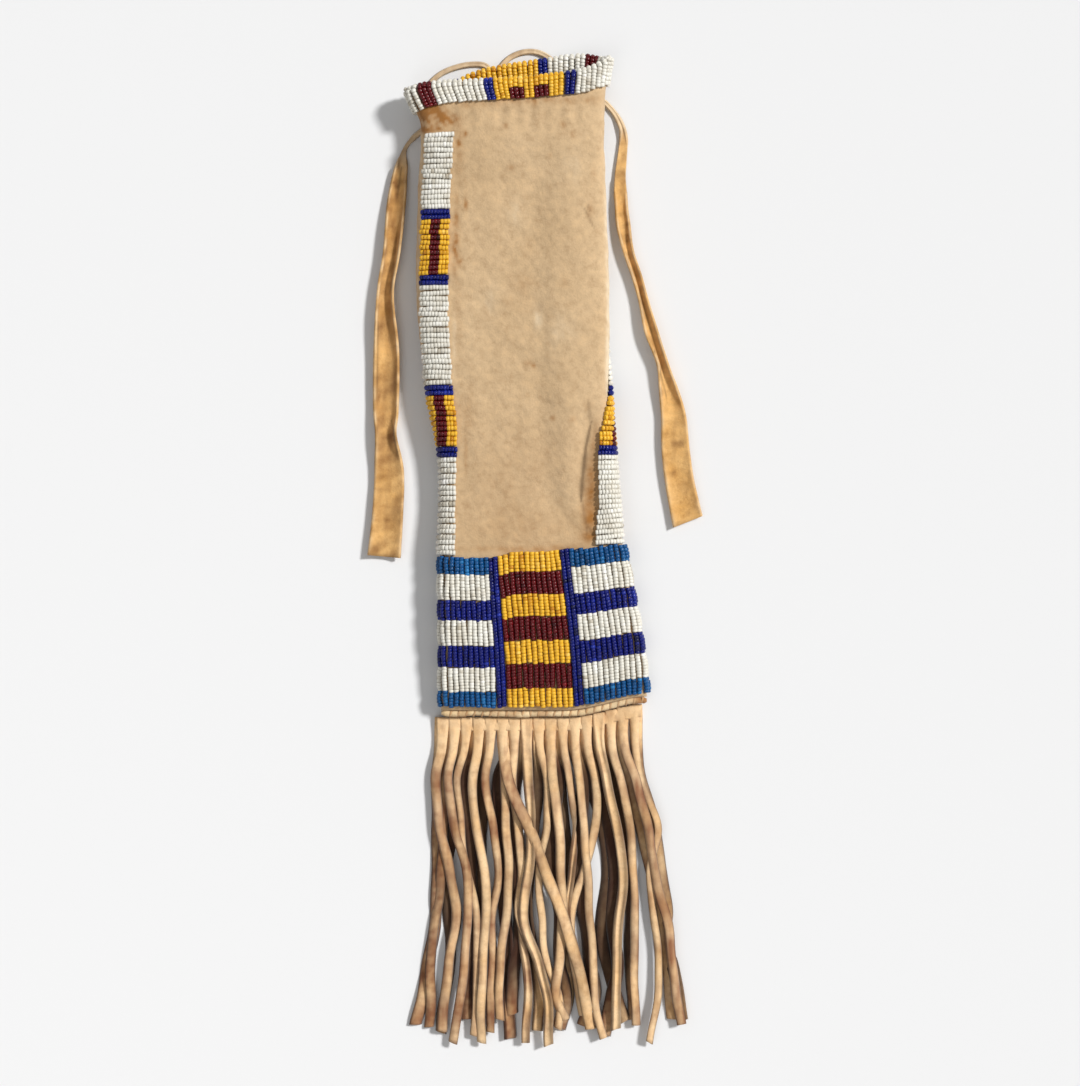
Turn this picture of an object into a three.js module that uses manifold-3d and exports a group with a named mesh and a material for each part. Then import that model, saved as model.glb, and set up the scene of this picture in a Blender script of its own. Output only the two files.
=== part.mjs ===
// A beaded tobacco pouch that lies on its back: a long soft hide bag with a beaded lip, two beaded
// side lanes, a beaded panel at its foot, a neck thong with two flat ties, and a cut hide fringe.
// Millimetres. X runs across the pouch, Y from the fringe to the mouth, Z up from the floor.
import * as THREE from 'three';
import Module from 'manifold-3d';

// Hide bag
const bagLength = 284;
const hideThickness = 1.5;
const footHalfWidth = 46.4;
const panelTopHalfWidth = 40.8;
const waistHalfWidth = 38.6;
const bellyHalfWidth = 43.4;
const neckHalfWidth = 41.4;
const mouthHalfWidth = 45.2;
const footHalfDepth = 3.2;
const panelHalfDepth = 6.2;
const bellyHalfDepth = 7.5;
const mouthHalfDepth = 6.8;
const edgeRoundness = 0.72; // share of the half depth that the folded sides are rounded with
const flatDepth = 0.12; // how far the back is pressed flat by the floor
const footMiddle = 4.3; // X of the foot's middle
const leanAcross = 16; // how far the mouth stands to the left of the foot
const footRise = 6.4; // how much the foot climbs towards its right end
const panelTopRise = 2.8; // how far the panel's top right corner stands above its plain place
const lipRise = 7.6; // and the same for the lip's right corner
const creaseDepth = 1.4;
const creaseWidth = 5;

// Fit
const clearance = 0.3;
const beadSlack = 0.15; // extra room under the beads, where the hide turns sharply

// Beads
const beadHeight = 2.0; // a row of beads stands this far out from the hide
const rowPitch = 2.34;
const laneBevel = 0.9; // the edges of a lane round off over this width

// Panel at the foot
const panelHeight = 70.3;
const panelFromSeam = 1.8;

// Side lanes
const laneWidth = 12.6;
const laneFromMouth = 24;
const laneGap = 1.2; // between a side lane and the panel's top row

// Lip of the mouth
const lipOuterDrop = 10;
const lipInnerDrop = 6.3;
const lipSquare = 7.4; // height of the two small dark squares

// Neck thong and ties
const thongWidth = 2.6;
const thongThickness = 1.3;
const tieWidth = 14.8; // at the cut ends
const slitWidth = 4.8;
const slitLength = 6;

// Welt and fringe
const weltWidth = 3.2;
const weltThickness = 3.4;
const fringeLength = 148.4;
const fringeBand = 7.2;
const fringeThickness = 1.3;
const strandCount = 17;
const strandShare = 0.82; // share of its pitch that a strand fills at the band
const strandWidth = 4.8;
const strandTipWidth = 4.4;
const strandSway = 1.5;

// Colours
const hideColour = '#cdb08a';
const tieColour = '#d0a870';
const fringeColour = '#d2b288';
const weltColour = '#dcc49c';
const white = '#dedacd';
const teal = '#175a92';
const darkBlue = '#151b6a';
const yellow = '#d59c30';
const oxblood = '#480b12';

const beadSeat = clearance + beadSlack;
const laneFoot = panelFromSeam + panelHeight + laneGap;
const laneTop = bagLength - laneFromMouth;
const under = beadSeat + beadHeight; // the bag's back rides on the beads that lie under it
const neckLift = under + thongThickness + 2 * clearance;

const smooth = (t) => THREE.MathUtils.smoothstep(t, 0, 1);
const mix = THREE.MathUtils.lerp;

// A smooth curve through a few pairs of place and value, held level beyond both ends.
function curveThrough(pairs) {
  const places = pairs.map((pair) => pair[0]);
  const values = pairs.map((pair) => pair[1]);
  const interpolant = new THREE.CubicInterpolant(places, values, 1, new Float32Array(1));
  const [low, high] = [places[0], places[places.length - 1]];
  return (place) => interpolant.evaluate(THREE.MathUtils.clamp(place, low, high))[0];
}

// Outline of the bag, by share of its length from the foot seam to the mouth.
const halfWidth = curveThrough([
  [0, footHalfWidth], [0.1, mix(footHalfWidth, panelTopHalfWidth, 0.4)],
  [0.25, panelTopHalfWidth], [0.36, waistHalfWidth], [0.42, waistHalfWidth],
  [0.52, mix(waistHalfWidth, bellyHalfWidth, 0.55)], [0.64, bellyHalfWidth],
  [0.8, mix(bellyHalfWidth, neckHalfWidth, 0.4)], [0.93, neckHalfWidth],
  [0.965, mix(neckHalfWidth, mouthHalfWidth, 0.3)], [1, mouthHalfWidth],
]);
const halfDepth = curveThrough([
  [0, footHalfDepth], [0.05, mix(footHalfDepth, panelHalfDepth, 0.4)],
  [0.11, mix(footHalfDepth, panelHalfDepth, 0.8)], [0.17, panelHalfDepth],
  [0.24, panelHalfDepth], [0.36, mix(panelHalfDepth, bellyHalfDepth, 0.7)],
  [0.5, bellyHalfDepth], [0.8, bellyHalfDepth], [0.93, mouthHalfDepth], [1, mouthHalfDepth],
]);
const middle = curveThrough([
  [0, 0], [0.1, -0.1 * leanAcross], [0.25, -0.34 * leanAcross], [0.41, -0.48 * leanAcross],
  [0.49, -0.71 * leanAcross], [0.58, -0.82 * leanAcross], [0.65, -0.88 * leanAcross],
  [0.81, -0.91 * leanAcross], [0.95, -0.9 * leanAcross], [1, -leanAcross],
]);

// Height of the bag's back above the floor: it lies on the floor between the beads of the panel
// and the lifted neck.
function backLift(v) {
  const foot = under * smooth((laneFoot + 0.1 * bagLength - v) / (0.09 * bagLength));
  const neck = neckLift * smooth((v - 0.82 * bagLength) / (0.09 * bagLength));
  return foot + neck;
}

// The right lane lies behind the bag's right side, so the hide rides on it there too.
const sideLift = (across) => under * smooth((across - 0.15) / 0.45);

// How far the panel's top and the lip's front and back stand above their plain places, by place
// across the bag, in shares of the rise at their right corners.
const panelTopLine = curveThrough([
  [-1, -1], [-0.38, -1], [-0.22, -0.2], [0.2, -0.1], [0.32, 0.12], [0.6, 0.45], [1, 1],
]);
const lipFront = curveThrough([
  [-1, -0.855], [-0.9, -0.5], [-0.75, -0.197], [-0.2, 0.158], [0.36, 0.395], [0.8, 0.658], [1, 1],
]);
const lipBack = curveThrough([
  [-1, -0.855], [-0.8, -0.63], [-0.55, -0.16], [-0.4, 0.32], [-0.27, 0.6], [-0.02, 0.93],
  [0.3, 1.2], [0.72, 1.43], [1, 1],
]);

// How far a point is moved along the bag from its plain place: the foot climbs to the right, the
// panel's top is a little aslant, and the lip has its own line.
function rise(v, across, isFront) {
  const panelTop = panelFromSeam + panelHeight;
  const foot = footRise * smooth((across - 0.2) / 0.85);
  const top = panelTopRise * panelTopLine(across);
  if (v < panelTop) return mix(foot, top, THREE.MathUtils.clamp(v / panelTop, 0, 1));
  const fade = 1 - smooth((v - panelTop) / (0.2 * bagLength));
  const lip = isFront ? lipFront(across) : lipBack(across);
  return top * fade + lipRise * lip * smooth((v - 0.9 * bagLength) / (0.085 * bagLength));
}

// A soft dent runs down the front near the right side, above the panel.
const creaseLine = curveThrough([[0.29, 0.511], [0.35, 0.392], [0.46, 0.435]]);
function creaseAt(v, x) {
  const line = footMiddle + footHalfWidth * creaseLine(v / bagLength);
  const along = smooth((v / bagLength - 0.275) / 0.05) * smooth((0.5 - v / bagLength) / 0.06);
  return creaseDepth * along * Math.exp(-(((x - line) / creaseWidth) ** 2));
}

// The bag's cross-section is a thin ellipse grown by a round edge, so the hide keeps one thickness.
// It is measured round from the left side, over the front, the right side and the back.
const sectionSteps = 360;
const sections = new Map();
function sectionAt(v) {
  const key = v.toFixed(3);
  if (sections.has(key)) return sections.get(key);
  const share = v / bagLength;
  const depth = halfDepth(share);
  const round = edgeRoundness * depth;
  const lift = backLift(v);
  const section = {
    round, lift,
    long: halfWidth(share) - round,
    short: depth - round,
    centreX: footMiddle + middle(share),
    centreZ: lift + depth - flatDepth,
    lengths: [0],
  };
  let before = corePoint(section, 0);
  for (let step = 1; step <= sectionSteps; step += 1) {
    const here = corePoint(section, step / sectionSteps);
    const length = Math.hypot(here.x - before.x, here.z - before.z);
    section.lengths.push(section.lengths[step - 1] + length);
    before = here;
  }
  section.girth = section.lengths[sectionSteps];
  sections.set(key, section);
  return section;
}

function corePoint(section, turn, out = 0) {
  const angle = Math.PI * (1 - 2 * turn);
  const [c, s] = [Math.cos(angle), Math.sin(angle)];
  const slant = Math.hypot(c / section.long, s / section.short);
  const reach = section.round + out;
  return {
    x: section.long * c + reach * c / section.long / slant,
    z: section.short * s + reach * s / section.short / slant,
    front: s,
  };
}

// A point of the bag at a share round its girth, v along it and out from its outer surface.
function onBag(round, v, out = 0) {
  const clipped = THREE.MathUtils.clamp(v, 0, bagLength);
  const section = sectionAt(clipped);
  const length = THREE.MathUtils.euclideanModulo(round, 1) * section.girth;
  let [low, high] = [0, sectionSteps];
  while (high - low > 1) {
    const half = (low + high) >> 1;
    if (section.lengths[half] > length) high = half;
    else low = half;
  }
  const part = (length - section.lengths[low]) / (section.lengths[high] - section.lengths[low]);
  const point = corePoint(section, (low + part) / sectionSteps, out);
  const across = point.x / (section.long + section.round);
  const x = section.centreX + point.x;
  const dent = creaseAt(clipped, x) * smooth(point.front / 0.5);
  const floor = section.lift - out;
  const lifted = Math.max(0, sideLift(across) - section.lift);
  const z = Math.max(section.centreZ + point.z, floor) + lifted - dent;
  const isFront = point.front >= 0;
  return new THREE.Vector3(x, v + rise(clipped, THREE.MathUtils.clamp(across, -1, 1), isFront), z);
}

const girthAt = (v) => sectionAt(v).girth;

// Places round the girth, close together where the section turns and far apart where it is flat.
function placesRound(from, to, v, longest) {
  const places = [from];
  const steps = Math.ceil((to - from) * 1440);
  let last = onBag(from, v);
  let before = last;
  let heading = null;
  let turned = 0;
  for (let step = 1; step < steps; step += 1) {
    const place = from + (to - from) * step / steps;
    const here = onBag(place, v);
    const angle = Math.atan2(here.z - before.z, here.x - before.x);
    if (heading !== null) {
      turned += Math.abs(Math.atan2(Math.sin(angle - heading), Math.cos(angle - heading)));
    }
    heading = angle;
    before = here;
    if (turned > 0.42 || here.distanceTo(last) > longest) {
      places.push(place);
      last = here;
      turned = 0;
    }
  }
  places.push(to);
  return places;
}

function evenly(from, to, longest) {
  const count = Math.max(1, Math.round(Math.abs(to - from) / longest));
  return Array.from({ length: count + 1 }, (_, i) => mix(from, to, i / count));
}

// Turns the faces out if the solid that they close is inside out.
function facingOut(positions, index) {
  let volume = 0;
  const at = (i) => new THREE.Vector3().fromArray(positions, 3 * i);
  for (let i = 0; i < index.length; i += 3) {
    volume += at(index[i]).dot(at(index[i + 1]).cross(at(index[i + 2])));
  }
  if (volume < 0) {
    for (let i = 0; i < index.length; i += 3) {
      [index[i + 1], index[i + 2]] = [index[i + 2], index[i + 1]];
    }
  }
  const geometry = new THREE.BufferGeometry();
  geometry.setAttribute('position', new THREE.Float32BufferAttribute(positions, 3));
  geometry.setIndex(index);
  return geometry;
}

// A sheet of even or varying height over a grid of cells: us one way, ws the other. place gives
// the point at u, w and a height over the sheet's underside, and has says which cells are there.
function sheetGeometry(us, ws, place, height, has = () => true, bevel = [0, 0]) {
  const [columns, rows] = [us.length - 1, ws.length - 1];
  const there = (i, j) => i >= 0 && j >= 0 && i < columns && j < rows && has(i, j);
  const positions = [];
  const numbers = new Map();
  const number = (i, j, top) => {
    const key = (i * (rows + 1) + j) * 2 + top;
    if (!numbers.has(key)) {
      const [left, right] = [there(i - 1, j - 1) || there(i - 1, j), there(i, j - 1) || there(i, j)];
      const [below, above] = [there(i - 1, j - 1) || there(i, j - 1), there(i - 1, j) || there(i, j)];
      const u = us[i] + top * bevel[0] * (right - left);
      const w = ws[j] + top * bevel[1] * (above - below);
      const point = place(u, w, top ? height(i, j, u, w) : 0);
      numbers.set(key, positions.length / 3);
      positions.push(point.x, point.y, point.z);
    }
    return numbers.get(key);
  };
  const index = [];
  const quad = (a, b, c, d) => index.push(a, b, c, a, c, d);
  for (let i = 0; i < columns; i += 1) {
    for (let j = 0; j < rows; j += 1) {
      if (!there(i, j)) continue;
      const [p, q, r, s] = [[i, j], [i + 1, j], [i + 1, j + 1], [i, j + 1]];
      quad(number(...p, 1), number(...q, 1), number(...r, 1), number(...s, 1));
      quad(number(...s, 0), number(...r, 0), number(...q, 0), number(...p, 0));
      const edges = [[p, q, i, j - 1], [q, r, i + 1, j], [r, s, i, j + 1], [s, p, i - 1, j]];
      for (const [a, b, ni, nj] of edges) {
        if (!there(ni, nj)) quad(number(...a, 0), number(...b, 0), number(...b, 1), number(...a, 1));
      }
    }
  }
  return facingOut(positions, index);
}

const pouch = new THREE.Group();

function addPiece(name, geometry, color, roughness) {
  const flat = geometry.toNonIndexed();
  flat.computeVertexNormals();
  const material = new THREE.MeshStandardMaterial({ color, roughness, metalness: 0 });
  const mesh = new THREE.Mesh(flat, material);
  mesh.name = name;
  pouch.add(mesh);
  return mesh;
}

const addHide = (name, geometry, colour) => addPiece(name, geometry, colour, 0.9);
const addBeads = (name, geometry, colour) => addPiece(name, geometry, colour, 0.25);

// Hide bag: the outside from the foot to the mouth, the lip, and the inside back down.
const wasm = await Module();
wasm.setup();

function toManifold(geometry) {
  return new wasm.Manifold(new wasm.Mesh({
    numProp: 3,
    vertProperties: new Float32Array(geometry.attributes.position.array),
    triVerts: new Uint32Array(geometry.index.array),
  }));
}

function fromManifold(solid) {
  const mesh = solid.getMesh();
  const geometry = new THREE.BufferGeometry();
  geometry.setAttribute('position', new THREE.BufferAttribute(mesh.vertProperties, 3));
  geometry.setIndex(new THREE.BufferAttribute(mesh.triVerts, 1));
  return geometry;
}

function bagGeometry() {
  const places = placesRound(0, 1, bagLength, 8).slice(0, -1);
  const levels = [
    ...evenly(0, 0.82 * bagLength, 8.2), ...evenly(0.82 * bagLength, bagLength, 6.4).slice(1),
  ];
  const insideFoot = 2.5 * hideThickness + 1;
  const insideLevels = evenly(bagLength, insideFoot, 11);
  const rings = [
    ...levels.map((v) => [v, 0]),
    ...insideLevels.map((v) => [v, -hideThickness]),
  ];
  const positions = [];
  for (const [v, out] of rings) {
    for (const place of places) positions.push(...onBag(place, v, out).toArray());
  }
  const count = places.length;
  const index = [];
  for (let ring = 0; ring + 1 < rings.length; ring += 1) {
    for (let i = 0; i < count; i += 1) {
      const [a, b] = [ring * count + i, ring * count + (i + 1) % count];
      index.push(a, b, b + count, a, b + count, a + count);
    }
  }
  const cap = (ring, v, turn) => {
    const centre = positions.length / 3;
    const section = sectionAt(v);
    positions.push(section.centreX, v + rise(v, 0, true), section.centreZ);
    for (let i = 0; i < count; i += 1) {
      const [a, b] = [ring * count + i, ring * count + (i + 1) % count];
      index.push(...(turn ? [centre, a, b] : [centre, b, a]));
    }
  };
  cap(0, 0, false);
  cap(rings.length - 1, insideFoot, true);
  return facingOut(positions, index);
}

// The thong goes in and out of the back of the neck through four slits.
const slitLevel = 0.925 * bagLength;
const slitShares = [-0.217, -0.024, 0.362, 0.556]; // of the neck's half width, from its middle
const slitAcross = slitShares.map((share) => footMiddle + middle(0.925) + share * neckHalfWidth);

function slitSolid(x) {
  const box = new THREE.BoxGeometry(slitWidth, slitLength, 3 * hideThickness);
  const section = sectionAt(slitLevel);
  box.translate(x, slitLevel, section.lift + hideThickness / 2);
  box.deleteAttribute('normal');
  box.deleteAttribute('uv');
  return toManifold(mergeCorners(box));
}

// Joins the doubled corners of a box, so that it is one closed surface.
function mergeCorners(geometry) {
  const positions = [];
  const seen = new Map();
  const source = geometry.attributes.position;
  const numbers = Array.from({ length: source.count }, (_, i) => {
    const point = new THREE.Vector3().fromBufferAttribute(source, i);
    const key = point.toArray().map((value) => value.toFixed(4)).join();
    if (!seen.has(key)) {
      seen.set(key, positions.length / 3);
      positions.push(...point.toArray());
    }
    return seen.get(key);
  });
  return facingOut(positions, Array.from(geometry.index.array, (i) => numbers[i]));
}

let bag = toManifold(bagGeometry());
for (const x of slitAcross) bag = bag.subtract(slitSolid(x));
addHide('hide_bag', fromManifold(bag), hideColour);

// Places along a block of beads, at every second row.
function rowPlaces(from, to, length) {
  const rowCount = Math.max(1, Math.round(length / rowPitch));
  return evenly(from, to, (to - from) / Math.ceil(rowCount / 2));
}

const rowHeight = () => beadHeight;

// Panel: seven lanes of beads go round the foot of the bag. In front a middle column of yellow and
// dark red blocks stands between two dark blue bars.
const panelMiddle = panelFromSeam + panelHeight / 2;
const laneEdges = [0, 0.106, 0.268, 0.411, 0.581, 0.714, 0.885, 1];
const centreEdges = [0, 0.124, 0.284, 0.432, 0.584, 0.725, 0.872, 1];
const barLeft = [0.139, 0.163];
const barRight = [0.321, 0.3445];
const shareGap = clearance / 2 / girthAt(panelMiddle);
const heightGap = clearance / 2 / panelHeight;
const onPanel = (round, share, height) => (
  onBag(round, panelFromSeam + share * panelHeight, beadSeat + height)
);

const panelBevel = [0, laneBevel / panelHeight];

function addRing(name, lane, colour) {
  const [from, to] = [barRight[1] + shareGap, 1 + barLeft[0] - shareGap];
  const places = placesRound(from, to, panelMiddle, 6);
  const shares = [laneEdges[lane] + heightGap, laneEdges[lane + 1] - heightGap];
  const geometry = sheetGeometry(places, shares, onPanel, rowHeight, () => true, panelBevel);
  addBeads(name, geometry, colour);
}

function addCentreBlock(name, lane, colour) {
  const [from, to] = [barLeft[1] + shareGap, barRight[0] - shareGap];
  const places = rowPlaces(from, to, (to - from) * girthAt(panelMiddle));
  const shares = [centreEdges[lane] + heightGap, centreEdges[lane + 1] - heightGap];
  const geometry = sheetGeometry(places, shares, onPanel, rowHeight, () => true, panelBevel);
  addBeads(name, geometry, colour);
}

function addBlueFrame(name, lanes, colour) {
  const inner = placesRound(barRight[1], 1 + barLeft[0], panelMiddle, 6);
  const places = [barRight[0], ...inner, 1 + barLeft[1]];
  const shares = [heightGap];
  for (let lane = 1; lane < laneEdges.length; lane += 1) {
    const inside = lanes.includes(lane - 1) || lane === laneEdges.length - 1 ? -1 : 1;
    shares.push(laneEdges[lane] + inside * heightGap);
  }
  const has = (i, j) => i === 0 || i === places.length - 2 || lanes.includes(j);
  addBeads(name, sheetGeometry(places, shares, onPanel, rowHeight, has, panelBevel), colour);
}

addRing('panel_teal_bottom', 0, teal);
addRing('panel_white_bottom', 1, white);
addRing('panel_white_middle', 3, white);
addRing('panel_white_top', 5, white);
addRing('panel_teal_top', 6, teal);
addBlueFrame('panel_blue_frame', [2, 4], darkBlue);
for (let lane = 0; lane < 7; lane += 1) {
  const isYellow = lane % 2 === 0;
  const name = isYellow ? `panel_yellow_${lane / 2 + 1}` : `panel_red_${(lane + 1) / 2}`;
  addCentreBlock(name, lane, isYellow ? yellow : oxblood);
}

// Side lanes: each runs down a side seam from the neck to the panel. The bag is twisted a little,
// so the left lane starts on the front and the right one behind. Each is given in lane widths from
// the side, along the hide, by share of the bag's length.
const leftLaneAt = curveThrough([
  [0.25, 0.238], [0.39, 0.254], [0.48, 0.651], [0.56, 0.81], [0.66, 0.937], [0.92, 0.937],
]);
const rightLaneAt = curveThrough([
  [0.25, 0.714], [0.33, 0.413], [0.44, 0.33], [0.49, 0.14], [0.565, -0.53], [0.64, -0.87],
  [0.72, -0.93], [0.92, -0.93],
]);

// Lengths of the blocks of a lane from the panel up, white ones between blue bars.
const laneBlocks = [
  ['white', 45], ['blue', 4.6], ['motif', 22.6], ['blue', 4.6], ['white', 45],
  ['blue', 4.6], ['motif', 25], ['blue', 4.6], ['white', 34],
];
const stripeShare = 0.36; // of the lane's width, for each yellow stripe

function addLane(side) {
  const isLeft = side === 'left';
  const place = (v, across, height) => {
    const centre = (isLeft ? leftLaneAt : rightLaneAt)(v / bagLength);
    const distance = (centre + across / 2) * laneWidth;
    const share = distance / girthAt(v);
    return onBag(isLeft ? share : 0.5 - share, v, beadSeat + height);
  };
  const total = laneBlocks.reduce((sum, [, length]) => sum + length, 0);
  const scale = (laneTop - laneFoot) / total;
  const counts = { white: 0, blue: 0, motif: 0 };
  const edge = clearance / laneWidth;
  const block = (name, from, to, low, high, cells, colour) => {
    const vs = rowPlaces(from + clearance / 2, to - clearance / 2, to - from);
    const shares = evenly(low, high, (high - low) / cells);
    const bevel = [0, 2 * laneBevel / laneWidth];
    addBeads(name, sheetGeometry(vs, shares, place, rowHeight, () => true, bevel), colour);
  };
  let from = laneFoot;
  for (const [kind, length] of laneBlocks) {
    const to = from + length * scale;
    counts[kind] += 1;
    const name = `${side}_lane_${kind}_${counts[kind]}`;
    if (kind !== 'motif') {
      block(name, from, to, -1, 1, 5, kind === 'white' ? white : darkBlue);
    } else {
      const stripe = 2 * stripeShare;
      block(`${name}_yellow_outer`, from, to, -1, -1 + stripe - edge, 2, yellow);
      block(`${name}_red`, from, to, -1 + stripe + edge, 1 - stripe - edge, 2, oxblood);
      block(`${name}_yellow_inner`, from, to, 1 - stripe + edge, 1, 2, yellow);
    }
    from = to;
  }
}

addLane('left');
addLane('right');

// Lip: beads wrap over the edge of the mouth, from the outside to the inside. The stretches are
// lengths round the front and the back, in the order met from the left corner. The white at each
// corner is one block that runs on from the front to the back.
const frontStretches = [
  ['white', 17], ['red', 14], ['white', 53], ['blue', 9], ['yellow', 72], ['blue', 13], ['white', 40],
];
const backStretches = [
  ['white', 15], ['red', 14], ['white', 38], ['blue', 9], ['yellow', 76], ['blue', 10], ['white', 47],
];
const lipColours = { white, red: oxblood, blue: darkBlue, yellow };
const squareShares = [[0.19, 0.41], [0.58, 0.82]]; // places of the two dark squares in the yellow

// w runs 0 to 1 up the outside, 1 to 2 over the edge and 2 to 3 down the inside.
function onLip(round, w, height) {
  const out = beadSeat + height;
  if (w <= 1) return onBag(round, bagLength - lipOuterDrop * (1 - w), out);
  if (w >= 2) return onBag(round, bagLength - lipInnerDrop * (w - 2), -hideThickness - out);
  const angle = Math.PI * (w - 1);
  const reach = hideThickness / 2 + out;
  const point = onBag(round, bagLength, reach * Math.cos(angle) - hideThickness / 2);
  return point.add(new THREE.Vector3(0, reach * Math.sin(angle), 0));
}

const lipGap = clearance / 2 / girthAt(bagLength);
const lipBevel = [0, 0.06];

const lipPlaces = (from, to) => placesRound(from, to, bagLength, 6);

function addLip() {
  const sum = (stretches) => stretches.reduce((total, [, length]) => total + length, 0);
  const edges = [];
  let at = 0;
  for (const [colour, length] of frontStretches) {
    const to = at + length / sum(frontStretches) / 2;
    edges.push({ colour, from: at, to, isFront: true });
    at = to;
  }
  for (const [colour, length] of backStretches) {
    const to = at + length / sum(backStretches) / 2;
    edges.push({ colour, from: at, to, isFront: false });
    at = to;
  }
  const leftCorner = edges.shift();
  edges[edges.length - 1].to += leftCorner.to;
  const [rightCorner] = edges.splice(frontStretches.length - 1, 1);
  edges[frontStretches.length - 2].to = rightCorner.to;
  const counts = {};
  const ws = [0, 0.5, 1, 1.5, 2, 3];
  for (const edge of edges) {
    counts[edge.colour] = (counts[edge.colour] || 0) + 1;
    const name = `lip_${edge.colour}_${counts[edge.colour]}`;
    const [from, to] = [edge.from + lipGap, edge.to - lipGap];
    if (edge.colour === 'yellow' && edge.isFront) {
      addSquaredLip(name, from, to);
      continue;
    }
    const geometry = sheetGeometry(lipPlaces(from, to), ws, onLip, rowHeight, () => true, lipBevel);
    addBeads(name, geometry, lipColours[edge.colour]);
  }
}

// The front's yellow stretch has two dark squares set into its lower edge.
function addSquaredLip(name, from, to) {
  const squareTop = lipSquare / lipOuterDrop;
  const gap = clearance / lipOuterDrop;
  const ws = [0, squareTop + gap, 1, 1.5, 2, 3];
  const marks = squareShares.flat().map((share) => mix(from, to, share));
  const places = [from];
  const isSquare = [];
  marks.push(to);
  marks.forEach((mark, k) => {
    const open = k % 2 === 1;
    const end = k === marks.length - 1 ? to : mark + (open ? lipGap : -lipGap);
    const added = lipPlaces(places[places.length - 1], end).slice(1);
    places.push(...added);
    isSquare.push(...added.map(() => open));
  });
  const has = (i, j) => !(isSquare[i] && j === 0);
  addBeads(name, sheetGeometry(places, ws, onLip, rowHeight, has, lipBevel), yellow);
  squareShares.forEach(([low, high], k) => {
    const squarePlaces = lipPlaces(mix(from, to, low) + lipGap, mix(from, to, high) - lipGap);
    const shares = [0, squareTop];
    const geometry = sheetGeometry(squarePlaces, shares, onLip, rowHeight, () => true, lipBevel);
    addBeads(`lip_square_${k + 1}`, geometry, oxblood);
  });
}

addLip();

// A flat strip of hide along a smooth path of [x, y, z, width]. It lies flat wherever the path
// does, keeps its turn where the path stands up, and tapers between its widths.
function stripGeometry(stops, thickness, stepLength) {
  const curve = new THREE.CatmullRomCurve3(
    stops.map(([x, y, z]) => new THREE.Vector3(x, y, z)), false, 'centripetal',
  );
  const count = Math.round(curve.getLength() / stepLength);
  const widthAt = curveThrough(stops.map((stop, i) => [i / (stops.length - 1), stop[3]]));
  const positions = [];
  const index = [];
  const side = new THREE.Vector3(1, 0, 0);
  for (let step = 0; step <= count; step += 1) {
    const t = curve.getUtoTmapping(step / count);
    const point = curve.getPoint(t);
    const ahead = curve.getTangent(t);
    const level = new THREE.Vector3(ahead.y, -ahead.x, 0);
    if (level.length() > 0.6) side.copy(level.multiplyScalar(Math.sign(level.dot(side)) || 1));
    side.addScaledVector(ahead, -side.dot(ahead)).normalize();
    const up = new THREE.Vector3().crossVectors(side, ahead);
    for (const [s, u] of [[-1, -1], [1, -1], [1, 1], [-1, 1]]) {
      const corner = point.clone().addScaledVector(side, s * widthAt(t) / 2);
      corner.addScaledVector(up, u * thickness / 2);
      positions.push(corner.x, corner.y, corner.z);
    }
    const base = 4 * step;
    for (let k = 0; step < count && k < 4; k += 1) {
      const [a, b] = [base + k, base + (k + 1) % 4];
      index.push(a, b, b + 4, a, b + 4, a + 4);
    }
  }
  const end = 4 * count;
  index.push(0, 2, 1, 0, 3, 2, end, end + 1, end + 2, end, end + 2, end + 3);
  return facingOut(positions, index);
}

// The route of the thong and the ties is given from the middle of the mouth: X in half widths of
// the mouth and Y in lengths of the bag. A tie's stop also has the share of its width.
const thongLow = thongThickness / 2 + 0.2;
const tieLow = (thongThickness + clearance) / 2;
const mouthMiddle = footMiddle + middle(1);
const fromMouth = (x, y) => [mouthMiddle + x * mouthHalfWidth, bagLength * (1 + y)];
const leftTie = [
  [-1.246, -0.756, 1], [-1.21, -0.6915, 0.912], [-1.195, -0.6218, 0.878], [-1.226, -0.5616, 0.581],
  [-1.226, -0.5282, 0.703], [-1.221, -0.4285, 0.716], [-1.23, -0.3335, 0.426], [-1.166, -0.2701, 0.453],
  [-1.119, -0.1908, 0.547], [-1.075, -0.137, 0.338],
];
const leftLoop = [
  [-1.035, -0.1056], [-0.947, -0.088], [-0.869, -0.0775], [-0.803, -0.0634], [-0.803, -0.0317],
  [-0.79, -0.0053], [-0.701, 0.0106], [-0.56, 0.0218], [-0.369, 0.0275], [-0.232, 0.0225],
  [-0.184, 0], [-0.184, -0.0282],
];
const middleLoop = [
  [-0.04, -0.0282], [-0.104, 0.0123], [-0.015, 0.0352], [0.104, 0.0458], [0.228, 0.0486],
  [0.338, 0.0444], [0.44, 0.0317], [0.467, 0.007], [0.392, -0.0211],
];
const rightLoop = [
  [0.657, -0.0493], [0.812, -0.0335], [0.945, -0.0289], [1.055, -0.0405], [1.144, -0.0599],
  [1.188, -0.0775],
];
const rightTie = [
  [1.195, -0.0912, 0.243], [1.115, -0.1546, 0.399], [1.126, -0.1972, 0.338], [1.146, -0.2289, 0.365],
  [1.199, -0.2715, 0.243], [1.285, -0.3127, 0.216], [1.345, -0.3475, 0.189], [1.423, -0.3968, 0.338],
  [1.533, -0.4475, 0.243], [1.588, -0.4856, 0.486], [1.648, -0.5345, 0.73], [1.668, -0.5852, 0.838],
  [1.708, -0.6359, 0.851], [1.792, -0.7007, 0.939],
];

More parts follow.
